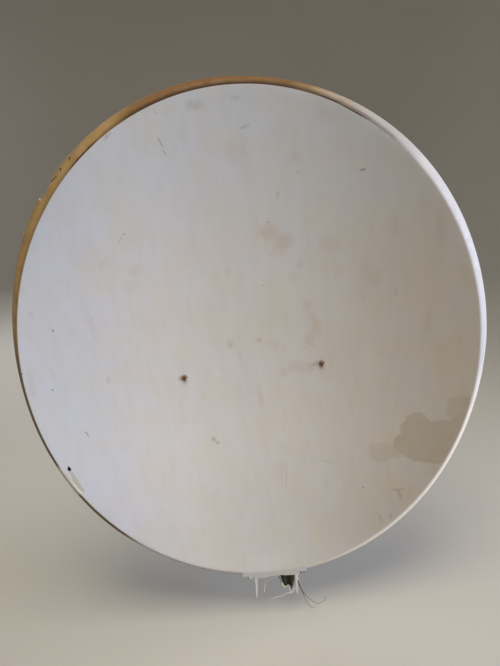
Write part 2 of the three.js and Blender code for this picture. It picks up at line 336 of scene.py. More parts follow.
@dataclass(frozen=True)
class Clouds:
    """Soft noise patches.

    The size is the width of a patch in millimetres. Noise values from low to high become 0 to 1, and
    detail is the number of finer layers.
    """

    size: float
    low: float
    high: float
    detail: float = 3.0

    def mask(self, tree: NodeTree, coords: NodeSocket) -> NodeSocket:
        """Mask of the patches, over coordinates in millimetres."""
        waves = add_node(
            tree, "ShaderNodeTexNoise", {"Vector": coords, "Scale": 1 / self.size, "Detail": self.detail}
        )
        return ranged(tree, waves.outputs["Fac"], (self.low, self.high))


@dataclass(frozen=True)
class Mark:
    """A stain, dot or scratch on the face: middle, half sizes and turn, in millimetres and degrees."""

    x: float
    z: float
    half_length: float
    half_width: float
    turn: float = 0.0
    fade: float = 0.5
    strength: float = 1.0

    def mask(self, tree: NodeTree, flat: NodeSocket) -> NodeSocket:
        """Mask of the mark.

        Args:
            tree: The material's node tree.
            flat: Coordinates in millimetres with y at 0.

        Returns:
            A mask that is the mark's strength inside it and 0 outside.
        """
        inside = add_node(
            tree, "ShaderNodeMapping",
            {"Vector": flat, "Location": (self.x, 0, self.z), "Rotation": (0, -math.radians(self.turn), 0),
             "Scale": (self.half_length, 1, self.half_width)},
            vector_type="TEXTURE",
        )
        reach = add_node(tree, "ShaderNodeVectorMath", {0: inside.outputs["Vector"]}, operation="LENGTH")
        return ranged(tree, reach.outputs["Value"], (1 - self.fade, 1), (self.strength, 0))


def marked(tree: NodeTree, flat: NodeSocket, marks: Sequence[Mark]) -> NodeSocket:
    """Mask of all the marks of one kind."""
    masks = [mark.mask(tree, flat) for mark in marks]
    whole = masks[0]
    for mask in masks[1:]:
        whole = larger(tree, whole, mask)
    return whole


def flattened(tree: NodeTree, coords: NodeSocket) -> NodeSocket:
    """Coordinates laid flat in x and z."""
    return add_node(tree, "ShaderNodeVectorMath", {0: coords, 1: (1, 0, 1)}, operation="MULTIPLY").outputs["Vector"]


def wavering(tree: NodeTree, coords: NodeSocket, size: float, shift: float) -> NodeSocket:
    """Coordinates shaken by noise and laid flat, so that a mark gets an irregular edge.

    Args:
        tree: The material's node tree.
        coords: Coordinates in millimetres.
        size: Width of the waves in millimetres.
        shift: How far they reach, in millimetres.

    Returns:
        The coordinates, with y at 0.
    """
    shake = add_node(tree, "ShaderNodeTexNoise", {"Vector": coords, "Scale": 1 / size, "Detail": 4.0})
    centred = add_node(
        tree, "ShaderNodeVectorMath", {0: shake.outputs["Color"], 1: (0.5, 0.5, 0.5)}, operation="SUBTRACT"
    )
    moved_coords = add_node(
        tree, "ShaderNodeVectorMath",
        {0: centred.outputs["Vector"], 1: (2 * shift, 2 * shift, 2 * shift), 2: coords},
        operation="MULTIPLY_ADD",
    )
    return flattened(tree, moved_coords.outputs["Vector"])


WATER_STAIN = (
    Mark(346, -200, 35, 36, 0, 0.06),
    Mark(395, -222, 58, 52, 0, 0.16),
    Mark(345, -243, 46, 31, 0, 0.06),
    Mark(320, -240, 25, 26, 0, 0.06),
    Mark(372, -256, 42, 23, 0, 0.06),
    Mark(438, -150, 40, 38, 0, 0.25, 0.7),
    Mark(440, -190, 38, 36, 0, 0.2),
    Mark(268, -262, 26, 26, 0, 0.1, 0.5),
    Mark(294, -258, 22, 17, 0, 0.1, 0.5),
)
SMUDGES = (
    Mark(299, -346, 20, 5, 8, 0.7, 0.7),
    Mark(301, -357, 6, 15, 20, 0.7, 0.7),
    Mark(255, -411, 5, 12, 25, 0.7, 0.6),
    Mark(278, -405, 5, 10, -15, 0.7, 0.7),
    Mark(-106, -205, 8, 10, 0, 0.6, 0.8),
    Mark(-98, -215, 6, 6, 0, 0.6, 0.8),
    Mark(-209, 463, 13, 4, 35, 0.7, 0.8),
    Mark(119, 366, 6, 2.5, 0, 0.6, 0.6),
    Mark(-54, 498, 24, 12, 0, 0.8, 0.45),
    Mark(18, 502, 12, 7, 0, 0.8, 0.4),
    Mark(-419, 156, 8, 10, 0, 0.7, 0.35),
    Mark(-309, -19, 5, 16, 0, 0.8, 0.4),
    Mark(81, 328, 5, 15, 0, 0.8, 0.45),
    Mark(30, 455, 14, 4, 12, 0.7, 0.5),
    Mark(20, 21, 9, 9, 0, 0.8, 0.45),
    Mark(-44, 20, 12, 16, 30, 0.8, 0.4),
    Mark(307, 110, 4, 22, -8, 0.8, 0.3),
)
BROWN_PATCHES = (
    Mark(60, 258, 28, 22, 0, 0.72, 0.85),
    Mark(84, 236, 28, 24, 20, 0.72, 0.85),
    Mark(72, 214, 24, 12, 0, 0.82, 0.68),
    Mark(124, 90, 20, 22, 0, 0.82, 0.59),
    Mark(140, 52, 15, 40, 12, 0.82, 0.85),
    Mark(128, 12, 14, 26, 0, 0.92, 0.68),
    Mark(104, -50, 46, 20, -6, 0.82, 0.77),
    Mark(70, -60, 20, 16, 0, 0.92, 0.68),
    Mark(56, 0, 36, 16, -25, 0.92, 0.51),
    Mark(12, -118, 10, 44, 8, 0.82, 0.72),
    Mark(-24, -20, 12, 50, 15, 0.95, 0.38),
    Mark(-212, 213, 20, 16, 0, 0.92, 0.68),
    Mark(-230, 180, 22, 24, 0, 0.95, 0.42),
    Mark(-318, 98, 9, 44, 6, 0.92, 0.59),
    Mark(-274, 228, 14, 18, -40, 0.95, 0.51),
    Mark(180, 224, 32, 26, -20, 0.92, 0.51),
    Mark(116, 180, 13, 13, 0, 0.92, 0.68),
    Mark(104, 158, 22, 18, 0, 0.95, 0.42),
    Mark(-30, 186, 11, 11, 0, 0.92, 0.51),
    Mark(256, 150, 32, 34, 0, 0.82, 0.55),
    Mark(236, 120, 20, 26, 0, 0.92, 0.42),
    Mark(302, 250, 26, 36, 30, 0.92, 0.38),
    Mark(380, 240, 16, 50, 10, 0.92, 0.51),
    Mark(366, 40, 12, 46, 0, 0.95, 0.42),
    Mark(10, 410, 34, 44, -30, 0.92, 0.38),
    Mark(116, 392, 20, 15, 0, 0.92, 0.47),
    Mark(180, 462, 46, 26, -25, 0.95, 0.34),
    Mark(52, -248, 16, 30, 0, 0.95, 0.42),
    Mark(40, -300, 30, 60, 0, 0.95, 0.21),
    Mark(-168, -150, 22, 10, -40, 0.95, 0.42),
    Mark(-120, -96, 10, 20, 20, 0.95, 0.3),
    Mark(-300, 260, 46, 90, -10, 0.95, 0.26),
    Mark(-450, 10, 12, 60, 0, 0.95, 0.59),
    Mark(-408, 20, 8, 34, 0, 0.95, 0.34),
    Mark(-404, 350, 12, 40, -30, 0.95, 0.42),
)
PALE_PATCHES = (
    Mark(-79, -44, 16, 14, 0, 0.8, 0.8),
    Mark(256, -50, 34, 56, 0, 0.9, 0.6),
    # These two thin lines are a painted highlight along a faint ridge in the face.
    Mark(132, -6, 4, 24, 38, 0.7, 0.9),
    Mark(176, -84, 3, 22, 40, 0.8, 0.4),
    Mark(0, -500, 90, 24, 0, 0.9, 0.5),
    Mark(210, 70, 50, 46, 0, 0.5, 0.3),
)
SCRATCHES = (
    Mark(-122, 443, 14, 1.6, -70, 0.6, 0.55),
    Mark(-118, 426, 9, 1.2, -62, 0.6, 0.4),
    Mark(-371, -128, 11, 1.4, -65, 0.6, 0.7),
    Mark(146, -284, 40, 1.1, -22, 0.7, 0.3),
    Mark(51, -318, 48, 1.3, 84, 0.7, 0.28),
    Mark(-228, 276, 18, 1.4, 52, 0.7, 0.25),
    Mark(-315, 121, 9, 1.4, 84, 0.7, 0.3),
    Mark(204, -284, 8, 1.4, -70, 0.7, 0.25),
    Mark(210, -420, 22, 1.0, 35, 0.8, 0.12),
)
DOTS = (
    Mark(59, 277, 2.6, 2.6, 0, 0.7, 0.6),
    Mark(-219, 286, 2.2, 2.2, 0, 0.7, 0.7),
    Mark(-416, -12, 2.4, 2.4, 0, 0.6, 1.0),
    Mark(-389, 114, 2.0, 3.6, 0, 0.6, 0.9),
    Mark(-461, 38, 2.2, 2.2, 0, 0.6, 0.8),
    Mark(223, -345, 2.6, 3.2, 0, 0.7, 0.7),
    Mark(39, 145, 1.8, 1.8, 0, 0.7, 0.7),
    Mark(-122, 492, 1.6, 1.6, 0, 0.7, 0.5),
    # The last three are painted shade on the lip, round its holes and beside the left strip.
    Mark(67, -535.2, 7.5, 2.9, 8, 0.5, 1.0),
    Mark(-65, -535.4, 4.4, 3.0, 0, 0.5, 0.9),
    Mark(-50, -537.6, 3.0, 2.4, 0, 0.6, 0.7),
)
PAINT_MARK = (Mark(239, 360, 8.5, 3.6, 0, 0.6, 0.5),)


RUST_HALOS = tuple(
    mark for side in Side for mark in (
        Mark(side.value * BOLT_X, BOLT_Z - 1, 9.5, 10.5, 0, 0.45, 0.7),
        Mark(side.value * BOLT_X - 2, BOLT_Z - 7, 9, 12, 0, 0.8, 0.25),
    )
)


@dataclass(frozen=True)
class Film:
    """Painted light and shade: a see-through tint that deepens across the face along x or z, from one place in
    millimetres to another.
    """

    colour: str
    axis: str
    start: float
    end: float


@dataclass(frozen=True)
class WeatheredGelcoat(Finish):
    """Polyester gelcoat as it comes out of the mould, years outdoors.

    It gives the eye an even, satin off-white skin that has gone chalky, with tea-coloured water marks,
    rubbed scratches and rust that has crept out from under the two screws. Its ramps of tint are painted
    light and shade: darker and warmer to the right, cooler to the left, a little darker towards the top
    and the bottom. Peel and dust are the size and the height of its relief in millimetres.
    """

    name: str = "weathered_polyester_gelcoat"
    cool: str = "#E6E5E8"
    warm: str = "#E6E3E0"
    pale: str = "#F1F0EE"
    stain: str = "#EEE8E0"
    patch: str = "#F6EDE7"
    grime: str = "#9A9480"
    scratch: str = "#7C7B78"
    speck_and_shade: str = "#3E3B38"
    rust: str = "#8A5530"
    paint: str = "#866A78"
    # Painted light and shade: darker and warmer to the right, cooler to the left, a little darker towards the top and
    # the bottom.
    shade_ramps: tuple[Film, ...] = (
        Film("#E8E5E3", "X", 40, 460),
        Film("#E8EEF9", "X", -140, -440),
        Film("#F4F9FF", "Z", 120, 500),
        Film("#EDEDED", "Z", -160, -480),
    )
    tone: Clouds = Clouds(75, 0.36, 0.64)
    chalk: Clouds = Clouds(1, 0.35, 0.8, 5)
    chalk_run: Place = (16, 26, 60)
    chalk_share: float = 0.07
    pale_share: float = 0.5
    blotch: Clouds = Clouds(26, 0.2, 0.55)
    fleck: Clouds = Clouds(7, 0.25, 0.55)
    patch_depth: Span = (0.5, 1.0)
    stain_depth: Span = (0.75, 1.0)
    fuzz: Span = (9.0, 2.2)
    wander: tuple[Span, ...] = ((55.0, 13.0), (14.0, 4.0))
    gloss: Clouds = Clouds(40, 0.3, 0.7, 5)
    roughness: Span = (0.49, 0.56)
    peel: Span = (5.0, 0.05)
    dust: Span = (1.6, 0.03)

    def surface(self, tree: NodeTree, coords: NodeSocket) -> Inputs:
        """Inputs of the surface shader."""
        fuzzy = wavering(tree, coords, *self.fuzz)
        shaky = coords
        for size, shift in self.wander:
            shaky = wavering(tree, shaky, size, shift)

        colour = tinted(tree, linear(self.cool), linear(self.warm), self.tone.mask(tree, coords))
        chalk = self.chalk.mask(tree, stretched(tree, coords, self.chalk_run))
        colour = tinted(tree, colour, linear(self.grime), times(tree, chalk, self.chalk_share))
        # Lighter patches; two thin ones near the right screw are a painted highlight.
        pale = times(tree, marked(tree, shaky, PALE_PATCHES), self.pale_share)
        colour = tinted(tree, colour, linear(self.pale), pale)
        place = add_node(tree, "ShaderNodeSeparateXYZ", {"Vector": shaky})
        # Painted light and shade, one ramp at a time.
        for film in self.shade_ramps:
            mask = ranged(tree, place.outputs[film.axis], (film.start, film.end))
            colour = glazed(tree, colour, film.colour, mask)
        blotch = self.blotch.mask(tree, coords)
        for glaze, marks, depth in ((self.patch, BROWN_PATCHES, self.patch_depth),
                                    (self.stain, WATER_STAIN, self.stain_depth)):
            mask = times(tree, marked(tree, shaky, marks), ranged(tree, blotch, (0, 1), depth))
            colour = glazed(tree, colour, glaze, mask)
        smudges = times(tree, marked(tree, fuzzy, SMUDGES), self.fleck.mask(tree, coords))
        for code, mask, share in (
            (self.grime, smudges, 0.6),
            (self.rust, marked(tree, fuzzy, RUST_HALOS), 0.75),
            (self.scratch, marked(tree, fuzzy, SCRATCHES), 1.0),
            (self.paint, marked(tree, fuzzy, PAINT_MARK), 1.0),
            # Specks, and painted shade on the lip.
            (self.speck_and_shade, marked(tree, flattened(tree, coords), DOTS), 0.8),
        ):
            colour = tinted(tree, colour, linear(code), times(tree, mask, share))

        rough = ranged(tree, self.gloss.mask(tree, coords), (0, 1), self.roughness)
        reliefs = []
        for size, height in (self.peel, self.dust):
            grain = add_node(tree, "ShaderNodeTexNoise", {"Vector": coords, "Scale": 1 / size, "Detail": 2.0})
            reliefs.append((grain.outputs["Fac"], height))
        return {"Base Color": colour, "Roughness": rough, "IOR": POLYESTER_IOR, "Normal": bumped(tree, *reliefs)}


@dataclass(frozen=True)
class Sector:
    """The part of the rim that lies towards an angle in degrees.

    Its mask starts at one cosine from that angle and is full at another. Noise shifts both ends by the
    wobble, as a cosine, in waves of a size in millimetres.
    """

    toward: float
    start: float
    full: float
    wobble: float = 0.3
    wave: float = 60.0

    def mask(self, tree: NodeTree, coords: NodeSocket) -> NodeSocket:
        """Mask of the sector with uneven ends, over coordinates in millimetres."""
        turn = math.radians(self.toward)
        outward = add_node(tree, "ShaderNodeVectorMath", {0: flattened(tree, coords)}, operation="NORMALIZE")
        cosine = add_node(
            tree, "ShaderNodeVectorMath",
            {0: outward.outputs["Vector"], 1: (math.cos(turn), 0, math.sin(turn))},
            operation="DOT_PRODUCT",
        )
        shake = add_node(tree, "ShaderNodeTexNoise", {"Vector": coords, "Scale": 1 / self.wave, "Detail": 4.0})
        shaken = add_node(
            tree, "ShaderNodeMath",
            {0: shake.outputs["Fac"], 1: self.wobble, 2: cosine.outputs["Value"]},
            operation="MULTIPLY_ADD",
        )
        return ranged(tree, shaken.outputs[0], (self.start + self.wobble / 2, self.full + self.wobble / 2))


@dataclass(frozen=True)
class AgedGelcoat(Finish):
    """The same gelcoat on the flange, gone tan by sun and dirt where rain doesn't wash it.

    It gives the eye a mottled ochre band over the top and down the left, which turns to clean bright
    gelcoat on the right. The ochre is partly yellowed gelcoat and partly painted warm bounce light.
    Painted shade darkens the top, the ridge, the lower left and, with dirt, the band's edges; the lower
    right is lighter and warmer, partly as a painted highlight. The edges and reaches are distances
    outside the rim in millimetres.
    """

    name: str = "sun_yellowed_and_shaded_gelcoat"
    clean: str = "#C8C7CA"
    # Cream gelcoat, lighter on the lower right as a painted highlight.
    ivory_and_highlight: str = "#F0E8DC"
    # Painted shade over the top of the flange.
    top_shade: str = "#BCA592"
    # Darker and greyer towards 65 degrees.
    dimming: str = "#DEDCDB"
    # Painted shade along the ridge, also laid on the flange's foot at the lower right.
    crease: str = "#BCB6B0"
    # Yellowed gelcoat with painted warm bounce light in it.
    tan: str = "#B69A6C"
    # Dirt and painted shade at the tan band's inner and outer edges.
    border: str = "#94764F"
    shaded: str = "#7A6A58"
    dark: str = "#7E6142"
    pink: str = "#BE9F86"
    bared: str = "#D8CEC2"
    aged_and_bounce_side: Sector = Sector(157, -0.2, 0.25)
    shaded_side: Sector = Sector(217, 0.5, 0.85)
    ivory_and_highlight_side: Sector = Sector(305, 0.6, 0.85)
    top_shade_side: Sector = Sector(93, 0.93, 0.985, 0.04)
    dimmed_side: Sector = Sector(65, 0.945, 0.99, 0.03)
    crease_shade_side: Sector = Sector(84, 0.8, 0.94, 0.1)
    # Where the flange's first millimetres take painted shade, on the lower right.
    foot_side: Sector = Sector(318, 0.76, 0.85)
    # Where the painted shade and the tan stop, near the bottom left.
    unshaded_side: Sector = Sector(250, 0.93, 0.97, 0.03)
    tear_side: Sector = Sector(207.8, 0.995, 0.9982, 0.004)
    inner_edge: Span = (0.5, 5.0)
    outer_edge: Span = (12.0, 17.0)
    crease_shade_reach: Span = (2.0, 8.0)
    foot_reach: Span = (1.6, 3.0)
    bared_reach: Span = (4.0, 8.0)
    streak: Clouds = Clouds(1, 0.4, 0.72, 5)
    streak_run: Place = (22, 9, 22)
    blush: Clouds = Clouds(31, 0.48, 0.7)
    border_share: float = 0.7
    dark_share: float = 0.4
    pink_share: float = 0.25
    foot_share: float = 0.3
    gloss: Clouds = Clouds(14, 0.3, 0.7)
    roughness: Span = (0.52, 0.72)
    peel: Span = (6.0, 0.12)

    def beyond(self, tree: NodeTree, coords: NodeSocket) -> NodeSocket:
        """Distance outside the rim's ellipse in millimetres, near enough for a border."""
        unit = add_node(
            tree, "ShaderNodeVectorMath",
            {0: coords, 1: (1 / FORM.half_width, 0, 1 / FORM.half_height)},
            operation="MULTIPLY",
        )
        length = add_node(tree, "ShaderNodeVectorMath", {0: unit.outputs["Vector"]}, operation="LENGTH")
        mean = (FORM.half_width + FORM.half_height) / 2
        return add_node(
            tree, "ShaderNodeMath", {0: length.outputs["Value"], 1: mean, 2: -mean}, operation="MULTIPLY_ADD"
        ).outputs[0]

    def tan_side_colour(self, tree: NodeTree, coords: NodeSocket, distance: NodeSocket) -> NodeSocket:
        """Colour of the tan side, with edges darkened by dirt and painted shade, streaks of dirt, and painted shade on
        the lower left.
        """
        # Darker inner and outer edges: dirt and painted shade.
        edges = larger(tree, ranged(tree, distance, self.inner_edge, (1, 0)), ranged(tree, distance, self.outer_edge))
        colour = tinted(tree, linear(self.tan), linear(self.border), times(tree, edges, self.border_share))
        streaks = self.streak.mask(tree, stretched(tree, coords, self.streak_run))
        colour = tinted(tree, colour, linear(self.dark), times(tree, streaks, self.dark_share))
        colour = tinted(tree, colour, linear(self.pink), times(tree, self.blush.mask(tree, coords), self.pink_share))
        return tinted(tree, colour, linear(self.shaded), self.shaded_side.mask(tree, coords))

    def surface(self, tree: NodeTree, coords: NodeSocket) -> Inputs:
        """Inputs of the surface shader."""
        distance = self.beyond(tree, coords)
        # Lighter and warmer at the lower right: partly cream gelcoat, partly painted highlight.
        colour = tinted(tree, linear(self.clean), linear(self.ivory_and_highlight), self.ivory_and_highlight_side.mask(tree, coords))
        # The tan side: yellowed gelcoat, partly painted warm bounce light.
        colour = tinted(tree, colour, self.tan_side_colour(tree, coords, distance), self.aged_and_bounce_side.mask(tree, coords))
        # Painted shade over the top.
        colour = glazed(tree, colour, self.top_shade, self.top_shade_side.mask(tree, coords))
        # Darker and greyer towards 65 degrees.
        colour = glazed(tree, colour, self.dimming, self.dimmed_side.mask(tree, coords))
        # Painted shade: a dark line just outside the ridge at the top, and the flange's first millimetres on the lower
        # right darkened like the face beside them.
        crease = times(tree, ranged(tree, distance, self.crease_shade_reach, (1, 0)), self.crease_shade_side.mask(tree, coords))
        foot = times(tree, ranged(tree, distance, self.foot_reach, (self.foot_share, 0)),
                     self.foot_side.mask(tree, coords))
        colour = glazed(tree, colour, self.crease, larger(tree, crease, foot))
        # Back to the clean colour towards 250 degrees, where the painted shade and the tan stop.
        colour = tinted(tree, colour, linear(self.clean), self.unshaded_side.mask(tree, coords))
        bared = times(tree, self.tear_side.mask(tree, coords), ranged(tree, distance, self.bared_reach, (1, 0)))
        size, height = self.peel
        peel = add_node(tree, "ShaderNodeTexNoise", {"Vector": coords, "Scale": 1 / size, "Detail": 4.0})
        return {
            "Base Color": tinted(tree, colour, linear(self.bared), bared),
            "Roughness": ranged(tree, self.gloss.mask(tree, coords), (0, 1), self.roughness),
            "IOR": POLYESTER_IOR,
            "Normal": bumped(tree, (peel.outputs["Fac"], height)),
        }


@dataclass(frozen=True)
class StrandMat(Finish):
    """Chopped-strand glass mat in polyester resin, as laid up by hand.

    It gives the eye short pale fibres that cross every way in a slightly glossy resin, on the unfaced
    back of a moulding and, paler and dry, where it has broken. Fibre sizes and relief are millimetres.
    """

    name: str
    resin: str
    fibre: str
    fibre_length: float = 38.0
    fibre_width: float = 1.5
    layer_depth: float = 9.0
    strand: Clouds = Clouds(1, 0.6, 0.68, 1)
    cover: float = 0.6
    roughness: float = 0.42
    roughness_spread: Span = (-0.1, 0.18)
    relief: float = 0.35
    grime: float = 0.72
    dirt: Clouds = Clouds(120, 0.35, 0.7, 5)
    gloss: Clouds = Clouds(25, 0.3, 0.7)
    lump: Clouds = Clouds(12, 0.2, 0.8)
    lump_height: float = 0.6
    turns: tuple[float, ...] = (0.0, 34.0, 71.0, 109.0, 147.0)

    def fibres(self, tree: NodeTree, coords: NodeSocket) -> NodeSocket:
        """Mask of the fibres, a layer for each direction that they lie in."""
        whole = None
        for index, turn in enumerate(self.turns):
            sizes = (self.fibre_length, self.layer_depth + index, self.fibre_width)
            layer = self.strand.mask(tree, stretched(tree, coords, sizes, (0, turn, 0)))
            whole = layer if whole is None else larger(tree, whole, layer)
        return whole

    def surface(self, tree: NodeTree, coords: NodeSocket) -> Inputs:
        """Inputs of the surface shader."""
        fibres = self.fibres(tree, coords)
        dirty = tuple(self.grime * c for c in linear(self.resin)[:3]) + (1.0,)
        resin = tinted(tree, linear(self.resin), dirty, self.dirt.mask(tree, coords))
        least, most = (self.roughness + change for change in self.roughness_spread)
        return {
            "Base Color": tinted(tree, resin, linear(self.fibre), times(tree, fibres, self.cover)),
            "Roughness": ranged(tree, self.gloss.mask(tree, coords), (0, 1), (least, most)),
            "IOR": GLASS_MAT_IOR,
            "Normal": bumped(tree, (fibres, self.relief), (self.lump.mask(tree, coords), self.lump_height)),
        }


@dataclass(frozen=True)
class GalvanisedSteel(Finish):
    """Hot-dip galvanised mild steel, left out for years.

    It gives the eye the grey flakes of zinc crystals, dulled, with white bloom in patches.
    """

    name: str = "hot_dip_galvanised_steel"
    zinc: str = "#9DA2A4"
    dark: str = "#787D80"
    bloom: str = "#C3C4C0"
    rust: str = "#7A5236"
    spangle: float = 11.0
    bloom_patch: Clouds = Clouds(46, 0.52, 0.7, 6)
    bloom_share: float = 0.55
    bloom_dulling: float = 0.25
    rust_patch: Clouds = Clouds(17, 0.66, 0.76, 6)
    rust_share: float = 0.45
    grain: Clouds = Clouds(3, 0.2, 0.8)
    grain_height: float = 0.04
    roughness: Span = (0.34, 0.52)
    metallic: Span = (0.85, 0.35)

    def surface(self, tree: NodeTree, coords: NodeSocket) -> Inputs:
        """Inputs of the surface shader."""
        crystals = add_node(tree, "ShaderNodeTexVoronoi", {"Vector": coords, "Scale": 1 / self.spangle})
        grey = add_node(tree, "ShaderNodeSeparateColor", {"Color": crystals.outputs["Color"]}).outputs["Red"]
        colour = tinted(tree, linear(self.dark), linear(self.zinc), grey)
        bloom, rust = self.bloom_patch.mask(tree, coords), self.rust_patch.mask(tree, coords)
        colour = tinted(tree, colour, linear(self.bloom), times(tree, bloom, self.bloom_share))
        flake = ranged(tree, grey, (0, 1), self.roughness)
        dull = add_node(tree, "ShaderNodeMath", {0: bloom, 1: self.bloom_dulling, 2: flake}, operation="MULTIPLY_ADD")
        return {
            "Base Color": tinted(tree, colour, linear(self.rust), times(tree, rust, self.rust_share)),
            "Roughness": dull.outputs[0],
            "Metallic": ranged(tree, larger(tree, bloom, rust), (0, 1), self.metallic),
            "Normal": bumped(tree, (self.grain.mask(tree, coords), self.grain_height)),
        }


@dataclass(frozen=True)
class PlatedFastener(Finish):
    """Zinc-plated steel fastener, with rust where the plating has gone.

    It gives the eye a dull grey sheen broken by brown crust: little of it behind the dish, nearly all
    of the two screws in the bowl, whose unplated edges show a pale crescent on the lower right that is
    also a painted highlight.
    """

    name: str
    plate: str = "#A9ABA8"
    rust: str = "#5F4331"
    crust: str = "#37291F"
    bright: str = "#EFE4D6"
    rust_patch: Clouds = Clouds(5, 0.62, 0.74, 5)
    crumb: Clouds = Clouds(1.3, 0.35, 0.65)
    glint_and_bare: tuple[Mark, ...] = ()
    glint_and_bare_wander: Span = (2.0, 0.4)
    roughness: Span = (0.36, 0.9)
    metallic: Span = (0.9, 0.05)
    crumb_height: float = 0.12
    rust_height: float = 0.15

    def surface(self, tree: NodeTree, coords: NodeSocket) -> Inputs:
        """Inputs of the surface shader."""
        rusty, crumbs = self.rust_patch.mask(tree, coords), self.crumb.mask(tree, coords)
        brown = tinted(tree, linear(self.rust), linear(self.crust), crumbs)
        colour = tinted(tree, linear(self.plate), brown, rusty)
        # Pale crescent on the screws' lower right: unplated steel and painted highlight.
        if self.glint_and_bare:
            edge = marked(tree, wavering(tree, coords, *self.glint_and_bare_wander), self.glint_and_bare)
            colour = tinted(tree, colour, linear(self.bright), edge)
        return {
            "Base Color": colour,
            "Metallic": ranged(tree, rusty, (0, 1), self.metallic),
            "Roughness": ranged(tree, rusty, (0, 1), self.roughness),
            "Normal": bumped(tree, (crumbs, self.crumb_height), (rusty, self.rust_height)),
        }


@dataclass(frozen=True)
class PlasticScrap(Finish):
    """A scrap of thin polyethylene film or fibre, caught in the tear.

    It gives the eye one small spot of colour, waxy and paler where it is worn.
    """

    name: str
    colour: str
    light: str
    roughness: float = 0.4
    worn: Clouds = Clouds(6, 0.35, 0.65)
    crinkle: Clouds = Clouds(2.5, 0.2, 0.8)
    crinkle_height: float = 0.15

    def surface(self, tree: NodeTree, coords: NodeSocket) -> Inputs:
        """Inputs of the surface shader."""
        return {
            "Base Color": tinted(tree, linear(self.colour), linear(self.light), self.worn.mask(tree, coords)),
            "Roughness": self.roughness,
            "IOR": POLYESTER_IOR,
            "Normal": bumped(tree, (self.crinkle.mask(tree, coords), self.crinkle_height)),
        }


@dataclass(frozen=True)
class DirtAndPaintedShade(Finish):
    """Soot and soil that rain has washed into a crack, darkened further as painted shade.

    It gives the eye a nearly black, crumbly line. Its black stands partly for the shade inside the
    cracks, punctures, holes and pit that it lines.
    """

    name: str = "dirt_and_painted_shade"
    colour: str = "#1B1612"
    light: str = "#382C22"
    crumb: Clouds = Clouds(1.2, 0.45, 0.75)
    crumb_height: float = 0.2
    roughness: float = 0.95

    def surface(self, tree: NodeTree, coords: NodeSocket) -> Inputs:
        """Inputs of the surface shader."""
        crumbs = self.crumb.mask(tree, coords)
        return {
            "Base Color": tinted(tree, linear(self.colour), linear(self.light), crumbs),
            "Roughness": self.roughness,
            "Normal": bumped(tree, (crumbs, self.crumb_height)),
        }


@dataclass(frozen=True)
class StudioPaint(Finish):
    """Matt emulsion on the studio's floor and sweep.

    It gives the eye a plain pale ground, a shade uneven as rolled paint is.
    """

    name: str = "matt_studio_paint"
    colour: str = "#D0CECA"
    uneven: Clouds = Clouds(900, 0.3, 0.7)
    shade: float = 0.97
    roughness: float = 0.85

    def surface(self, tree: NodeTree, coords: NodeSocket) -> Inputs:
        """Inputs of the surface shader."""
        shade = tuple(self.shade * c for c in linear(self.colour)[:3]) + (1.0,)
        colour = tinted(tree, linear(self.colour), shade, self.uneven.mask(tree, coords))
        return {"Base Color": colour, "Roughness": self.roughness}


@dataclass(frozen=True)
class Finishes:
    """All the materials, made once."""

    gelcoat: Material
    aged: Material
    back: Material
    broken: Material
    strand: Material
    dirt: Material
    dark_mat: Material
    galvanised: Material
    plated: Material
    rusted: Material
    green: Material
    mint: Material
    brown_fibre: Material
    paint: Material

    @classmethod
    def made(cls) -> "Finishes":
        """Build every material."""
        # Pale crescents on the two screws: unplated steel and painted highlight.
        glint_and_bare_edges = tuple(
            Mark(side.value * BOLT_X + 4.6, BOLT_Z - 2.6, 2.0, 4.6, -32, 0.5, 0.95) for side in Side
        )
        return cls(
            gelcoat=WeatheredGelcoat().material(),
            aged=AgedGelcoat().material(),
            back=StrandMat("hand_laid_strand_mat", "#9C9A8C", "#C9C6B8").material(),
            broken=StrandMat(
                "broken_glass_laminate", "#E3DBCF", "#F6F2EA", fibre_length=16.0, fibre_width=0.9, cover=0.8,
                roughness=0.75, relief=0.5,
            ).material(),
            strand=StrandMat(
                "clean_glass_strand", "#FBF6EE", "#FFFFFF", fibre_length=9.0, fibre_width=0.6, cover=0.8,
                roughness=0.5, relief=0.3, grime=0.97,
            ).material(),
            # Near black for the cut faces: dirt and painted shade.
            dirt=DirtAndPaintedShade().material(),
            # Near black: inner mat, partly painted shade of the hollow under the lip.
            dark_mat=StrandMat(
                "dark_inner_mat_and_shade", "#1D1912", "#75694F", fibre_length=14.0, fibre_width=1.0, cover=0.5,
                roughness=0.8, relief=0.6,
            ).material(),
            galvanised=GalvanisedSteel().material(),
            plated=PlatedFastener("zinc_plated_steel").material(),
            rusted=PlatedFastener(
                "rusted_plated_steel", plate="#A99F92", rust="#97785F", crust="#5A4536",
                rust_patch=Clouds(4, 0.36, 0.48, 5), glint_and_bare=glint_and_bare_edges,
            ).material(),
            green=PlasticScrap("green_polyethylene_film", "#3A4F3C", "#6C8C70").material(),
            mint=PlasticScrap("mint_polyethylene_film", "#B4DDBC", "#E2F6E2").material(),
            brown_fibre=PlasticScrap("weathered_brown_fibre", "#3D2516", "#5A3921").material(),
            paint=StudioPaint().material(),
        )

    @property
    def moulding(self) -> list[Material]:
        """The moulding's finishes in the order of the Skin numbers."""
        return [self.gelcoat, self.aged, self.back, self.broken, self.dirt]


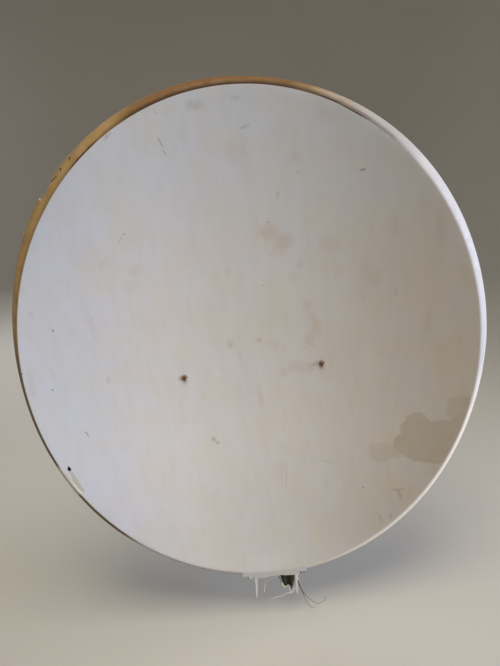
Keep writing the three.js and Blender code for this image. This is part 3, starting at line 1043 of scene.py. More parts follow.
def spun(profile: Sequence[Point], steps: int, closed: bool = False, body: BMesh | None = None) -> BMesh:
    """Turn a profile of radius and y round the y axis.

    Args:
        profile: Points as radius and y.
        steps: Number of faces round the turn.
        closed: Whether the last point joins the first.
        body: A mesh to add to; a new one is made without it.

    Returns:
        The mesh with the turned surface, its doubles merged.
    """
    bm = body or bmesh.new()
    verts = [bm.verts.new((radius, y, 0)) for radius, y in profile]
    ends = [*verts[1:], verts[0]] if closed else verts[1:]
    edges = [bm.edges.new(pair) for pair in zip(verts, ends)]
    bmesh.ops.spin(
        bm, geom=verts + edges, cent=(0, 0, 0), axis=(0, 1, 0), angle=2 * math.pi, steps=steps, use_merge=True
    )
    bmesh.ops.remove_doubles(bm, verts=bm.verts, dist=WELD)
    return bm


def stretch_to_ellipse(verts: Sequence[BMVert]) -> None:
    """Move vertices of a turned ring outward in z, so that it follows the rim's ellipse at an even distance."""
    stretch = FORM.half_height - FORM.half_width
    for vert in verts:
        radius = math.hypot(vert.co.x, vert.co.z)
        vert.co.z *= (radius + stretch) / radius


def slab(points: Sequence[Point], front: float, back: float) -> BMesh:
    """A flat outline in x and z, made solid from front to back.

    Args:
        points: Outline in x and z.
        front: Lowest y.
        back: Highest y.

    Returns:
        The closed mesh.
    """
    bm = bmesh.new()
    face = bm.faces.new([bm.verts.new((x, front, z)) for x, z in points])
    grown = bmesh.ops.extrude_face_region(bm, geom=[face])["geom"]
    bmesh.ops.translate(bm, verts=[v for v in grown if isinstance(v, BMVert)], vec=(0, back - front, 0))
    bmesh.ops.recalc_face_normals(bm, faces=bm.faces)
    return bm


def ragged(points: Sequence[Point], step: float, depth: float, seed: int, closed: bool = True) -> list[Point]:
    """Split an outline into short lengths and shake them, as a break leaves them.

    Args:
        points: Outline in x and z.
        step: Length of a piece in millimetres.
        depth: Most that a point moves either way.
        seed: Seed of the shake.
        closed: Whether the last point joins the first.

    Returns:
        The rough outline.
    """
    shake = random.Random(seed)
    rough = []
    ends = [*points[1:], points[0]] if closed else points[1:]
    for start, end in zip(points, ends):
        count = max(1, round(math.dist(start, end) / step))
        for k in range(count):
            place = [s + (e - s) * k / count for s, e in zip(start, end)]
            rough.append(tuple(c + shake.uniform(-depth, depth) for c in place))
    return rough


def band(route: Sequence[Point], widths: Sequence[float]) -> list[Point]:
    """Outline of a band along a route, with a width at each of its points."""
    sides: tuple[list[Point], list[Point]] = ([], [])
    for k, (x, z) in enumerate(route):
        before, after = route[max(k - 1, 0)], route[min(k + 1, len(route) - 1)]
        along = Vector(after) - Vector(before)
        across = Vector((-along.y, along.x)).normalized() * widths[k] / 2
        sides[0].append((x + across.x, z + across.y))
        sides[1].append((x - across.x, z - across.y))
    return sides[0] + sides[1][::-1]


def cylinder(x: float, z: float, radius: float, front: float, back: float, segments: int = 48) -> BMesh:
    """A round bar along y."""
    bm = bmesh.new()
    place = Matrix.Translation((x, (front + back) / 2, z)) @ Matrix.Rotation(math.pi / 2, 4, "X")
    bmesh.ops.create_cone(
        bm, cap_ends=True, segments=segments, radius1=radius, radius2=radius, depth=back - front, matrix=place
    )
    return bm


def painted(bm: BMesh, skin: Skin) -> BMesh:
    """Give every face of a mesh one material number."""
    for face in bm.faces:
        face.material_index = skin.value
    return bm


def loose_object(name: str, bm: BMesh) -> Object:
    """A temporary object of a mesh, with empty material slots so that faces keep their numbers."""
    mesh = bpy.data.meshes.new(name)
    bm.to_mesh(mesh)
    bm.free()
    for _ in Skin:
        mesh.materials.append(None)
    obj = bpy.data.objects.new(name, mesh)
    bpy.context.scene.collection.objects.link(obj)
    return obj


def carved(body: BMesh, tools: Sequence[BMesh], operation: str = "DIFFERENCE") -> BMesh:
    """Cut tools out of a body, or join or cross them with it. The cut faces keep the tools' material.

    Args:
        body: The closed mesh to cut.
        tools: Closed meshes.
        operation: Name of the boolean operation.

    Returns:
        The resulting mesh.
    """
    target = loose_object("body", body)
    cutters = []
    for number, tool in enumerate(tools):
        cutters.append(loose_object(f"cutter_{number}", tool))
        cut = target.modifiers.new("cut", "BOOLEAN")
        cut.object, cut.operation, cut.solver = cutters[-1], operation, "EXACT"
    result = bmesh.new()
    result.from_object(target, bpy.context.evaluated_depsgraph_get())
    for obj in [target, *cutters]:
        bpy.data.meshes.remove(obj.data)
    return result


def finish_piece(
    bm: BMesh, name: str, materials: Sequence[Material],
    stands_for: Sequence[str] = (), sharp: float = 38.0,
) -> Object:
    """Turn a mesh in the rim's frame into a finished piece of the part.

    Args:
        bm: The mesh in millimetres; it is freed.
        name: Name of the piece.
        materials: Materials by face number.
        stands_for: Solids that the piece replaces.
        sharp: Edges that turn by more than this, in degrees, stay sharp.

    Returns:
        The object.
    """
    bmesh.ops.transform(bm, matrix=FORM.to_row, verts=bm.verts)
    mesh = bpy.data.meshes.new(name)
    bm.to_mesh(mesh)
    bm.free()
    for material in materials:
        mesh.materials.append(material)
    mesh.shade_smooth()
    mesh.set_sharp_from_angle(angle=math.radians(sharp))
    obj = bpy.data.objects.new(name, mesh)
    bpy.context.scene.collection.objects.link(obj)
    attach(obj, "root")
    if stands_for:
        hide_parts(*stands_for)
    log.info("%s: %d faces", name, len(mesh.polygons))
    return obj


@dataclass
class Reflector:
    """The bowl, from its middle to a short collar outside the rim, with the tear and the screw holes.

    Each wave of its face has a length, a slice of the noise and a share. Cut and drill are the depths
    between which the tools reach.
    """

    finishes: Finishes
    rings: int = 48
    steps: int = 240
    edge_radius: float = 2.6
    edge_segments: int = 4
    hole_radius: float = 4.2
    cut: Span = (-30, 60)
    drill: Span = (-30, 150)
    waviness: float = 0.35
    waves: tuple[Place, ...] = ((140, 0, 1.0), (55, 7, 0.15))
    wave_fade: float = 4.0
    rim_start: float = -0.9
    pit: float = 3.2
    lip_reach: float = 78.0
    tear: tuple[Point, ...] = (
        (-414.8, -199.6), (-410.6, -205.6), (-408.3, -210.8), (-406.1, -217.5), (-403.5, -225.0),
        (-401.4, -232.4), (-399.1, -239.0), (-396.9, -245.7), (-395.8, -251.2), (-397.2, -257.2),
        (-400.9, -257.3), (-403.6, -253.0), (-407.0, -245.9), (-409.3, -239.9), (-412.7, -232.9),
        (-415.0, -226.9), (-417.2, -221.0), (-417.1, -215.9), (-417.8, -210.5), (-418.3, -203.6),
    )
    chip: tuple[Point, ...] = (
        (-418.0, -188.4), (-416.0, -189.0), (-413.6, -194.8), (-412.8, -198.4), (-415.0, -202.6),
        (-417.2, -199.6), (-420.2, -195.6),
    )

    def skin(self) -> BMesh:
        """Front of the bowl and collar, with the ridge between them rounded."""
        radius = FORM.half_width
        rows = [radius * k / self.rings for k in range(self.rings + 1)]
        bm = spun([(r, FORM.sag(r)) for r in rows], self.steps)
        bmesh.ops.transform(bm, matrix=FORM.bowl_map, verts=bm.verts)
        collar = spun([(radius + g, FORM.flare(g)) for g in (0.0, FORM.collar)], self.steps)
        stretch_to_ellipse(collar.verts)
        join(bm, collar)
        bmesh.ops.remove_doubles(bm, verts=bm.verts, dist=NEAR)
        painted(bm, Skin.FRONT)
        ridge = [e for e in bm.edges if all(abs(v.co.y) < NEAR for v in e.verts)]
        bmesh.ops.bevel(
            bm, geom=ridge, offset=self.edge_radius, offset_type="OFFSET", segments=self.edge_segments,
            profile=0.5, affect="EDGES", material=-1,
        )
        for face in bm.faces:
            middle = face.calc_center_median()
            reach = math.hypot(middle.x / FORM.half_width, middle.z / FORM.half_height) - 1
            beside_lip = middle.z < 0 and abs(middle.x) < self.lip_reach
            if reach * FORM.half_width > self.rim_start and not beside_lip:
                face.material_index = Skin.RIM.value
        return bm

    def wavy(self, bm: BMesh) -> None:
        """Let the face wander a little, as a hand-laid moulding does, dying out at the rim."""
        for vert in bm.verts:
            x, _, z = vert.co
            inside = 1 - (x / FORM.half_width) ** 2 - (z / FORM.half_height) ** 2
            swell = sum(share * noise.noise(Vector((x, level, z)) / length) for length, level, share in self.waves)
            vert.co.y += self.waviness * swell * min(max(self.wave_fade * inside, 0), 1)

    def chip_cutter(self) -> BMesh:
        """Pit beside the tear, which ends just short of the bowl's back, so that its near-black floor shows as painted
        shade.
        """
        bm = painted(slab(ragged(self.chip, step=1.5, depth=0.3, seed=5), *self.cut), Skin.CRACK)
        for vert in bm.verts:
            if vert.co.y > 0:
                vert.co.y = FORM.depth(vert.co.x, vert.co.z) + self.pit
        return bm

    def build(self) -> Object:
        """Build the piece."""
        bm = self.skin()
        self.wavy(bm)
        copy = bmesh.ops.duplicate(bm, geom=bm.verts[:] + bm.edges[:] + bm.faces[:])["geom"]
        behind = [g for g in copy if isinstance(g, BMVert)]
        bmesh.ops.translate(bm, verts=behind, vec=(0, FORM.thickness, 0))
        for face in (g for g in copy if isinstance(g, BMFace)):
            face.material_index = Skin.BACK.value
        bmesh.ops.bridge_loops(bm, edges=[e for e in bm.edges if e.is_boundary])
        bmesh.ops.recalc_face_normals(bm, faces=bm.faces)
        tear = slab(ragged(self.tear, step=2.2, depth=0.3, seed=11), *self.cut)
        tools = [painted(tear, Skin.BROKEN), self.chip_cutter()]
        tools += [painted(cylinder(side.value * BOLT_X, BOLT_Z, self.hole_radius, *self.drill), Skin.BROKEN)
                  for side in Side]
        tools += crack_cutters()
        bm = carved(bm, tools)
        return finish_piece(bm, "bowl", self.finishes.moulding, ["reflector_shell"])


def join(bm: BMesh, other: BMesh) -> None:
    """Add another mesh to a mesh, and free it."""
    mesh = bpy.data.meshes.new("joined")
    other.to_mesh(mesh)
    other.free()
    bm.from_mesh(mesh)
    bpy.data.meshes.remove(mesh)


@dataclass(frozen=True)
class Crack:
    """A crack that runs along the rim, between two angles in degrees, at a distance outside it.

    Its route has a point at every step in degrees, shaken by the wander, and its width is uneven
    between two shares.
    """

    start: float
    end: float
    growth: float
    width: float
    top: float = -20.0
    bottom: float = 3.2
    step: float = 0.4
    wander: float = 0.15
    uneven: Span = (0.8, 1.1)
    least: float = 0.12

    def cutter(self, seed: int) -> BMesh:
        """Thin wedge that opens the crack nearly through the skin, widest at its middle."""
        shake = random.Random(seed)
        count = round(abs(self.end - self.start) / self.step)
        shares = [k / count for k in range(count + 1)]
        route = [
            FORM.rim_point(
                self.start + (self.end - self.start) * s, self.growth + shake.uniform(-self.wander, self.wander)
            )
            for s in shares
        ]
        widths = [
            max(self.width * math.sin(math.pi * s) ** 0.5 * shake.uniform(*self.uneven), self.least) for s in shares
        ]
        # Near-black walls and floor: dirt and painted shade inside the crack.
        return painted(slab(band(route, widths), self.top, self.bottom), Skin.CRACK)


CRACKS = (
    Crack(119.0, 128.2, 0.2, 1.8),
    Crack(64.3, 69.8, 0.4, 1.3),
    Crack(58.0, 64.9, -1.3, 1.5),
)
CRACK_SEED = 20


def crack_cutters() -> list[BMesh]:
    """One wedge for each crack."""
    return [crack.cutter(CRACK_SEED + k) for k, crack in enumerate(CRACKS)]


@dataclass
class RimFlange:
    """The flange that turns outward and back from the rim, with the damage on its upper left.

    Bite and slit are points as an angle in degrees and a distance outside the rim. Each puncture has
    its angle, distance and width, and the widths along it are shares of that.
    """

    finishes: Finishes
    steps: int = 240
    rings: int = 12
    thickness: float = 4.0
    back_start: float = math.radians(24)
    edge_radius: float = 1.3
    edge_segments: int = 3
    cut: Span = (-20, 60)
    lip_below: float = 60.0
    lip_above: float = 90.0
    bite: tuple[Point, ...] = (
        (132.75, 15.6), (133.1, 13.6), (134.0, 13.3), (135.1, 12.6), (136.1, 12.2), (136.9, 12.6), (137.25, 14.6),
        (137.4, 34.0), (132.3, 34.0),
    )
    slit: tuple[Point, ...] = ((131.0, 11.6), (131.7, 12.4), (132.4, 13.4), (133.0, 14.6))
    slit_widths: tuple[float, ...] = (0.5, 2.0, 2.2, 1.2)
    punctures: tuple[Place, ...] = ((126.5, 13.2, 3.4), (129.5, 13.4, 3.6))
    puncture_turns: Place = (-0.28, 0.0, 0.28)
    puncture_lean: float = 3.0
    puncture_widths: Place = (0.5, 1.0, 0.4)
    puncture_seed: int = 40

    def ring(self) -> BMesh:
        """The whole flange before its damage."""
        start = math.asin((FORM.collar + FORM.flare_radius * math.sin(FORM.flare_start)) / FORM.flare_radius)
        arcs = []
        for inset, from_turn in ((0.0, start), (self.thickness, self.back_start)):
            turns = [from_turn + (FORM.flare_end - from_turn) * k / self.rings for k in range(self.rings + 1)]
            arcs.append([
                (FORM.half_width + FORM.growth(t, inset),
                 FORM.flare_radius * math.cos(FORM.flare_start) - (FORM.flare_radius - inset) * math.cos(t))
                for t in turns
            ])
        profile = arcs[0] + arcs[1][::-1]
        outer = {round(point[0], 3) for point in (arcs[0][-1], arcs[1][-1])}
        bm = spun(profile, self.steps, closed=True)
        rims = [
            e for e in bm.edges
            if all(round(math.hypot(v.co.x, v.co.z), 3) in outer for v in e.verts)
            and abs(e.verts[0].co.y - e.verts[1].co.y) < NEAR
        ]
        for face in bm.faces:
            middle = face.calc_center_median()
            behind = middle.y - FORM.flare(math.hypot(middle.x, middle.z) - FORM.half_width)
            face.material_index = (Skin.BACK if behind > self.thickness / 2 else Skin.RIM).value
        bmesh.ops.bevel(
            bm, geom=rims, offset=self.edge_radius, offset_type="OFFSET", segments=self.edge_segments,
            profile=0.5, affect="EDGES", material=-1,
        )
        for vert in bm.verts:
            wider = 1 + FORM.widening(vert.co) / math.hypot(vert.co.x, vert.co.z)
            vert.co = Vector((vert.co.x * wider, vert.co.y, vert.co.z * wider))
        stretch_to_ellipse(bm.verts)
        bmesh.ops.recalc_face_normals(bm, faces=bm.faces)
        return bm

    def damage(self) -> list[BMesh]:
        """Cutters of the bite, the slit beside it, the two punctures and the cracks."""
        bite = [FORM.rim_point(*point) for point in self.bite]
        slit = band([FORM.rim_point(*point) for point in self.slit], self.slit_widths)
        # The slit and the punctures are lined near black: painted shade.
        tools = [painted(slab(ragged(bite, step=2.4, depth=0.5, seed=3), *self.cut), Skin.BROKEN),
                 painted(slab(slit, *self.cut), Skin.CRACK)]
        for number, (turn, growth, size) in enumerate(self.punctures):
            route = [FORM.rim_point(turn + d, growth - self.puncture_lean * d) for d in self.puncture_turns]
            outline = band(route, [share * size for share in self.puncture_widths])
            hole = slab(ragged(outline, step=1.0, depth=0.25, seed=self.puncture_seed + number), *self.cut)
            tools.append(painted(hole, Skin.CRACK))
        return tools + crack_cutters()

    def build(self) -> Object:
        """Build the piece."""
        below, above = -FORM.half_height - self.lip_below, -FORM.half_height + self.lip_above
        foot = slab([(LIP_LEFT, below), (LIP_RIGHT, below), (LIP_RIGHT, above), (LIP_LEFT, above)], *self.cut)
        bm = carved(self.ring(), [painted(foot, Skin.BROKEN), *self.damage()])
        return finish_piece(bm, "flange", self.finishes.moulding, ["rim_flange"])


def thread_profile(radius: float, pitch: float, start: float, end: float) -> list[Point]:
    """Points of a thread's ridges as radius and y, from start to a chamfered end.

    Args:
        radius: Outer radius.
        pitch: Distance from ridge to ridge.
        start: Where the thread starts along y.
        end: Where it ends.

    Returns:
        The points, with the last on the axis.
    """
    groove, foot, crest_start, crest_end, chamfer = 0.61, 0.1, 0.45, 0.6, 0.8
    root = radius - groove * pitch
    points = []
    for k in range(int((end - start) / pitch)):
        y = start + k * pitch
        points += [(root, y + foot * pitch), (radius, y + crest_start * pitch), (radius, y + crest_end * pitch)]
    return [*points, (root, points[-1][1] + (1 - crest_end) * pitch), (root - chamfer, end), (0.0, end)]


def moved(bm: BMesh, x: float, y: float, z: float, turn: float = 0.0) -> BMesh:
    """Turn a mesh about the y axis by an angle in degrees and move it."""
    place = Matrix.Translation((x, y, z)) @ Matrix.Rotation(math.radians(turn), 4, "Y")
    bmesh.ops.transform(bm, matrix=place, verts=bm.verts)
    return bm


def hexagon(radius: float, front: float, back: float, chamfer_front: bool, chamfer_back: bool) -> BMesh:
    """A hexagon block along y with turned chamfers.

    Args:
        radius: Distance of a corner from the axis.
        front: Lowest y.
        back: Highest y.
        chamfer_front: Whether the front corners are turned off.
        chamfer_back: Whether the back corners are.

    Returns:
        The closed mesh.
    """
    block = cylinder(0, 0, radius, front, back, segments=6)
    barrel_radius = radius * 1.02
    flat = radius * math.cos(math.pi / 6) * 0.97
    drop = (barrel_radius - flat) * math.tan(math.radians(30))
    turned = [
        (0.0, front),
        (flat if chamfer_front else barrel_radius, front),
        (barrel_radius, front + (drop if chamfer_front else 0.0)),
        (barrel_radius, back - (drop if chamfer_back else 0.0)),
        (flat if chamfer_back else barrel_radius, back),
        (0.0, back),
    ]
    points = [p for k, p in enumerate(turned) if k == 0 or p != turned[k - 1]]
    barrel = spun(points, steps=64)
    bmesh.ops.recalc_face_normals(barrel, faces=barrel.faces)
    return carved(block, [barrel], "INTERSECT")


def nut(radius: float, hole: float, height: float) -> BMesh:
    """A hexagon nut from y = 0 back, with countersunk thread ends."""
    block = hexagon(radius, 0, height, chamfer_front=True, chamfer_back=True)
    sink = 0.8
    wide = hole + sink
    bore = spun([(0, -1), (wide, -1), (wide, 0), (hole, sink), (hole, height - sink), (wide, height),
                 (wide, height + 1), (0, height + 1)], steps=48)
    bmesh.ops.recalc_face_normals(bore, faces=bore.faces)
    return carved(block, [bore])


def bolt(radius: float, head: float, shank: float, pitch: float, length: float, threaded: float) -> BMesh:
    """A hexagon bolt with its head in front of y = 0 and its shank behind.

    Args:
        radius: Corner radius of the head.
        head: Height of the head.
        shank: Radius of the shank.
        pitch: Pitch of the thread.
        length: Length of the shank.
        threaded: Length of its thread.

    Returns:
        The mesh, head and shank as two closed parts that meet.
    """
    body = hexagon(radius, -head, 0, chamfer_front=True, chamfer_back=False)
    inside_head = -0.5
    profile = [(0.0, inside_head), (shank, inside_head), (shank, length - threaded)]
    profile += thread_profile(shank, pitch, length - threaded, length)
    stem = spun(profile, steps=40)
    bmesh.ops.recalc_face_normals(stem, faces=stem.faces)
    return carved(body, [stem], "UNION")


@dataclass
class FaceFixing:
    """One of the two screws through the bowl, with the moulded boss, washer and nut behind it.

    The recess is points as radius and depth below the head's top, the dome's turns are degrees. The
    boss's outline is points as radius and share of the way from the bowl's back to its own.
    """

    finishes: Finishes
    side: Side
    boss_back: float = 104.0
    cross_back: float = 149.6
    head_radius: float = 6.25
    head_height: float = 4.0
    sunk: float = 1.5
    recess: tuple[Point, ...] = ((0.0, 1.9), (1.3, 2.0), (2.3, 1.7), (2.55, 0.55), (2.9, 0.25))
    dome_height: float = 3.0
    dome_turns: tuple[int, ...] = (30, 42, 54, 66, 78, 90)
    rust_lump: float = 1.8
    rust_height: float = 0.16
    boss_outline: tuple[Point, ...] = (
        (4.0, -0.12), (4.0, 1.0), (21.5, 1.0), (23.6, 0.97), (24.7, 0.9), (25.0, 0.8),
        (25.4, 0.5), (26.6, 0.28), (28.8, 0.12), (32.0, 0.03), (35.0, -0.04), (35.0, -0.12),
    )
    shank: float = 3.0
    pitch: float = 1.0
    threaded: float = 22.0
    tail: float = 9.0
    washer_radius: float = 9.0
    washer_thickness: float = 1.6
    washer_edge: float = 0.3
    nut_radius: float = 5.77
    nut_height: float = 5.0
    nut_turn: float = 17.0
    play: float = 0.05
    gap: float = 0.3

    @property
    def x(self) -> float:
        """Place across the bowl."""
        return self.side.value * BOLT_X

    @property
    def seat(self) -> float:
        """Depth at which the head sits on the face."""
        return FORM.depth(self.x, BOLT_Z) - self.sunk

    def screw(self) -> Object:
        """Domed head with a round recess, and a threaded shank that runs back to the nut."""
        top = self.seat - self.head_height
        end = self.cross_back + self.gap + self.washer_thickness + self.tail
        dome = [(self.head_radius * math.sin(t), top + self.dome_height * (1 - math.cos(t)))
                for t in (math.radians(d) for d in self.dome_turns)]
        profile = [*((radius, top + depth) for radius, depth in self.recess), *dome,
                   (self.head_radius, self.seat), (self.shank, self.seat), (self.shank, end - self.threaded)]
        profile += thread_profile(self.shank, self.pitch, end - self.threaded, end)
        bm = spun(profile, steps=48)
        bmesh.ops.recalc_face_normals(bm, faces=bm.faces)
        for vert in bm.verts:
            if vert.co.y < self.seat + 0.1:
                shift = noise.noise(Vector((vert.co.x, self.side.value * 5, vert.co.z)) / self.rust_lump)
                vert.co.y += self.rust_height * shift
        moved(bm, self.x, 0, BOLT_Z)
        name = self.side.word
        return finish_piece(bm, f"face_screw_{name}", [self.finishes.rusted], [f"face_bolt_{name}"])

    def boss(self) -> Object:
        """Moulded pad on the back of the bowl, with a soft root."""
        bm = spun(self.boss_outline, steps=64, closed=True)
        for vert in bm.verts:
            lift = vert.co.y
            x, z = vert.co.x + self.x, vert.co.z + BOLT_Z
            root = FORM.depth(x, z) + FORM.thickness
            vert.co = Vector((x, root + lift * (self.boss_back - root), z))
        bmesh.ops.recalc_face_normals(bm, faces=bm.faces)
        name = self.side.word
        return finish_piece(bm, f"boss_pad_{name}", [self.finishes.back], [f"boss_{name}"])

    def washer(self) -> Object:
        """Flat washer on the cross tube."""
        front = self.cross_back + self.gap
        back = front + self.washer_thickness
        inner, outer, soft = self.shank + self.gap, self.washer_radius, self.washer_edge
        bm = spun([(inner, front), (outer - soft, front), (outer, front + soft), (outer, back - soft),
                   (outer - soft, back), (inner, back)], steps=48, closed=True)
        bmesh.ops.recalc_face_normals(bm, faces=bm.faces)
        moved(bm, self.x, 0, BOLT_Z)
        name = self.side.word
        return finish_piece(bm, f"flat_washer_{name}", [self.finishes.plated], [f"face_washer_{name}"])

    def nut(self) -> Object:
        """Nut behind the washer."""
        front = self.cross_back + 2 * self.gap + self.washer_thickness
        ring = nut(self.nut_radius, self.shank + self.play, self.nut_height)
        bm = moved(ring, self.x, front, BOLT_Z, self.nut_turn)
        name = self.side.word
        return finish_piece(bm, f"face_hex_nut_{name}", [self.finishes.plated], [f"face_nut_{name}"])

    def build(self) -> None:
        """Build the screw, boss, washer and nut."""
        self.screw()
        self.boss()
        self.washer()
        self.nut()


@dataclass
class RearFrame:
    """Legs, cross tubes and mounting plate behind the bowl.

    Aim is the point in x and z at the lip that each leg leans towards. Mast and arm holes end with
    their radius. The drills are the depths between which a hole's tool reaches.
    """

    finishes: Finishes
    wall: float = 2.0
    corner: float = 3.2
    corner_segments: int = 4
    leg_width: float = 25.0
    leg_depth: float = 20.0
    leg_front: float = 104.3
    leg_top: float = -18.0
    leg_bottom: float = -440.0
    aim: Point = (65.0, -537.0)
    cross_front: float = 124.6
    cross_depth: float = 25.0
    cross_height: float = 40.0
    top_half: float = 190.0
    low_half: float = 152.0
    low_z: float = -206.0
    plate_front: float = 149.9
    plate_thickness: float = 6.0
    plate_width: float = 170.0
    plate_height: float = 210.0
    plate_corner: float = 12.0
    plate_corner_segments: int = 8
    plate_edge: float = 0.7
    plate_z: float = -126.0
    plate_bolt_x: float = 62.0
    mast_hole: Place = (35.0, 40.0, 5.25)
    arm_hole: Span = (-424.0, 4.5)
    hole: float = 3.3
    large_hole: float = 4.3
    leg_drill: Span = (80, 160)
    cross_drill: Span = (80, 200)
    plate_drill: Span = (130, 180)

    @property
    def lean(self) -> float:
        """Lean of a leg from upright."""
        return math.atan2(BOLT_X - self.aim[0], BOLT_Z - self.aim[1])

    def leg_x(self, z: float) -> float:
        """Distance of a leg's centre line from the middle at a height."""
        share = (BOLT_Z - z) / (BOLT_Z - self.aim[1])
        return BOLT_X + (self.aim[0] - BOLT_X) * share

    def tube(self, width: float, depth: float, length: float) -> BMesh:
        """Welded rectangular tube along z, open at both ends.

        Args:
            width: Size along x.
            depth: Size along y.
            length: Size along z.

        Returns:
            The closed mesh of its walls, with rounded corners.
        """
        bm = bmesh.new()
        bmesh.ops.create_cube(bm, size=1, matrix=Matrix.Diagonal((width, depth, length, 1)))
        long_edges = [e for e in bm.edges if abs(e.verts[0].co.z - e.verts[1].co.z) > 0.9 * length]
        bmesh.ops.bevel(bm, geom=long_edges, offset=self.corner, segments=self.corner_segments, profile=0.5,
                        affect="EDGES", material=-1)
        caps = [f for f in bm.faces if abs(f.normal.z) > 0.9]
        bmesh.ops.delete(bm, geom=caps, context="FACES_ONLY")
        bmesh.ops.solidify(bm, geom=bm.faces[:], thickness=self.wall)
        bmesh.ops.recalc_face_normals(bm, faces=bm.faces)
        return bm

    def leg(self, side: Side) -> Object:
        """One leg, from its screw down towards the lip."""
        middle = (self.leg_top + self.leg_bottom) / 2
        length = (self.leg_top - self.leg_bottom) / math.cos(self.lean)
        bm = self.tube(self.leg_width, self.leg_depth, length)
        turn = side.value * math.degrees(self.lean)
        moved(bm, side.value * self.leg_x(middle), self.leg_front + self.leg_depth / 2, middle, turn)
        drills = [(BOLT_Z, self.hole), (self.low_z, self.hole), self.arm_hole]
        tools = [cylinder(side.value * self.leg_x(z), z, radius, *self.leg_drill) for z, radius in drills]
        name = f"leg_{side.word}"
        return finish_piece(carved(bm, tools), f"frame_{name}", [self.finishes.galvanised], [name])

    def cross(self, name: str, half: float, z: float, outer: float) -> Object:
        """One cross tube, with a hole for each leg and two for the plate."""
        bm = self.tube(self.cross_height, self.cross_depth, 2 * half)
        moved(bm, 0, self.cross_front + self.cross_depth / 2, z, turn=90)
        tools = []
        for side in Side:
            tools.append(cylinder(side.value * outer, z, self.hole, *self.cross_drill))
            tools.append(cylinder(side.value * self.plate_bolt_x, z, self.large_hole, *self.cross_drill))
        bm = carved(bm, tools)
        return finish_piece(bm, f"frame_{name}", [self.finishes.galvanised], [name])

    def plate(self) -> Object:
        """Mounting plate with its bolt holes and the four for the mast clamp."""
        bm = bmesh.new()
        size = Matrix.Diagonal((self.plate_width, self.plate_thickness, self.plate_height, 1))
        bmesh.ops.create_cube(bm, size=1, matrix=size)
        short = [e for e in bm.edges if abs(e.verts[0].co.y - e.verts[1].co.y) > 0.9 * self.plate_thickness]
        bmesh.ops.bevel(bm, geom=short, offset=self.plate_corner, segments=self.plate_corner_segments, profile=0.5,
                        affect="EDGES", material=-1)
        rims = [e for e in bm.edges if abs(e.verts[0].co.y - e.verts[1].co.y) < NEAR]
        bmesh.ops.bevel(bm, geom=rims, offset=self.plate_edge, segments=2, profile=0.5, affect="EDGES", material=-1)
        moved(bm, 0, self.plate_front + self.plate_thickness / 2, self.plate_z)
        across, up, radius = self.mast_hole
        tools = []
        for side in Side:
            for z in (BOLT_Z, self.low_z):
                tools.append(cylinder(side.value * self.plate_bolt_x, z, self.large_hole, *self.plate_drill))
            for sign in (-1, 1):
                tools.append(cylinder(side.value * across, self.plate_z + sign * up, radius, *self.plate_drill))
        bm = carved(bm, tools)
        return finish_piece(bm, "mast_plate", [self.finishes.galvanised], ["mounting_plate"])

    def build(self) -> None:
        """Build the tubes and the plate."""
        for side in Side:
            self.leg(side)
        self.cross("top_cross_tube", self.top_half, BOLT_Z, BOLT_X)
        self.cross("low_cross_tube", self.low_half, self.low_z, self.leg_x(self.low_z))
        self.plate()


@dataclass
class FrameFasteners:
    """Bolts and nuts that hold the tubes and the plate together.

    A bolt's size is its head's corner radius and height and its shank's radius, a nut's its corner
    radius and height. A tail is how far a shank reaches past what it holds.
    """

    finishes: Finishes
    rear: RearFrame
    gap: float = 0.3
    small: Place = (6.25, 4.0, 3.0)
    small_nut: Span = (5.77, 5.0)
    large: Place = (7.5, 5.3, 4.0)
    large_nut: Span = (7.5, 6.5)
    small_pitch: float = 1.0
    large_pitch: float = 1.25
    small_tail: float = 9.0
    large_tail: float = 10.0
    threaded: float = 24.0
    play: float = 0.05
    washer_thickness: float = 1.6
    turn_seed: int = 8

    def pair(self, kind: str, size: Place, nut_size: Span, pitch: float, seat: float, nut_front: float,
             end: float, place: Point, name: str, turn: float) -> None:
        """Build a bolt and its nut.

        Args:
            kind: First words of both names.
            size: Corner radius and height of the head, and radius of the shank.
            nut_size: Corner radius and height of the nut.
            pitch: Pitch of the thread.
            seat: Depth of the head's seat.
            nut_front: Depth of the nut's front.
            end: Depth of the shank's end.
            place: Place in x and z.
            name: Rest of both names.
            turn: Turn of the nut in degrees.
        """
        radius, head, shank = size
        x, z = place
        screw = moved(bolt(radius, head, shank, pitch, end - seat, self.threaded), x, seat, z, 30 - turn)
        finish_piece(screw, f"{kind}_hex_bolt_{name}", [self.finishes.plated], [f"{kind}_bolt_{name}"])
        ring = moved(nut(nut_size[0], shank + self.play, nut_size[1]), x, nut_front, z, turn)
        finish_piece(ring, f"{kind}_hex_nut_{name}", [self.finishes.plated], [f"{kind}_nut_{name}"])

    def build(self) -> None:
        """Build all the pairs."""
        rear = self.rear
        cross_back = rear.cross_front + rear.cross_depth
        mount_face = rear.plate_front + rear.plate_thickness
        turns = random.Random(self.turn_seed)
        for side in Side:
            place = (side.value * rear.leg_x(rear.low_z), rear.low_z)
            end = cross_back + self.gap + self.washer_thickness + self.small_tail
            self.pair("leg", self.small, self.small_nut, self.small_pitch, rear.leg_front - self.gap,
                      cross_back + self.gap, end, place, side.word, turns.uniform(0, 60))
            for row, z in (("top", BOLT_Z), ("low", rear.low_z)):
                place = (side.value * rear.plate_bolt_x, z)
                self.pair("plate", self.large, self.large_nut, self.large_pitch, rear.cross_front - self.gap,
                          mount_face + self.gap, mount_face + self.large_tail, place, f"{row}_{side.word}",
                          turns.uniform(0, 60))


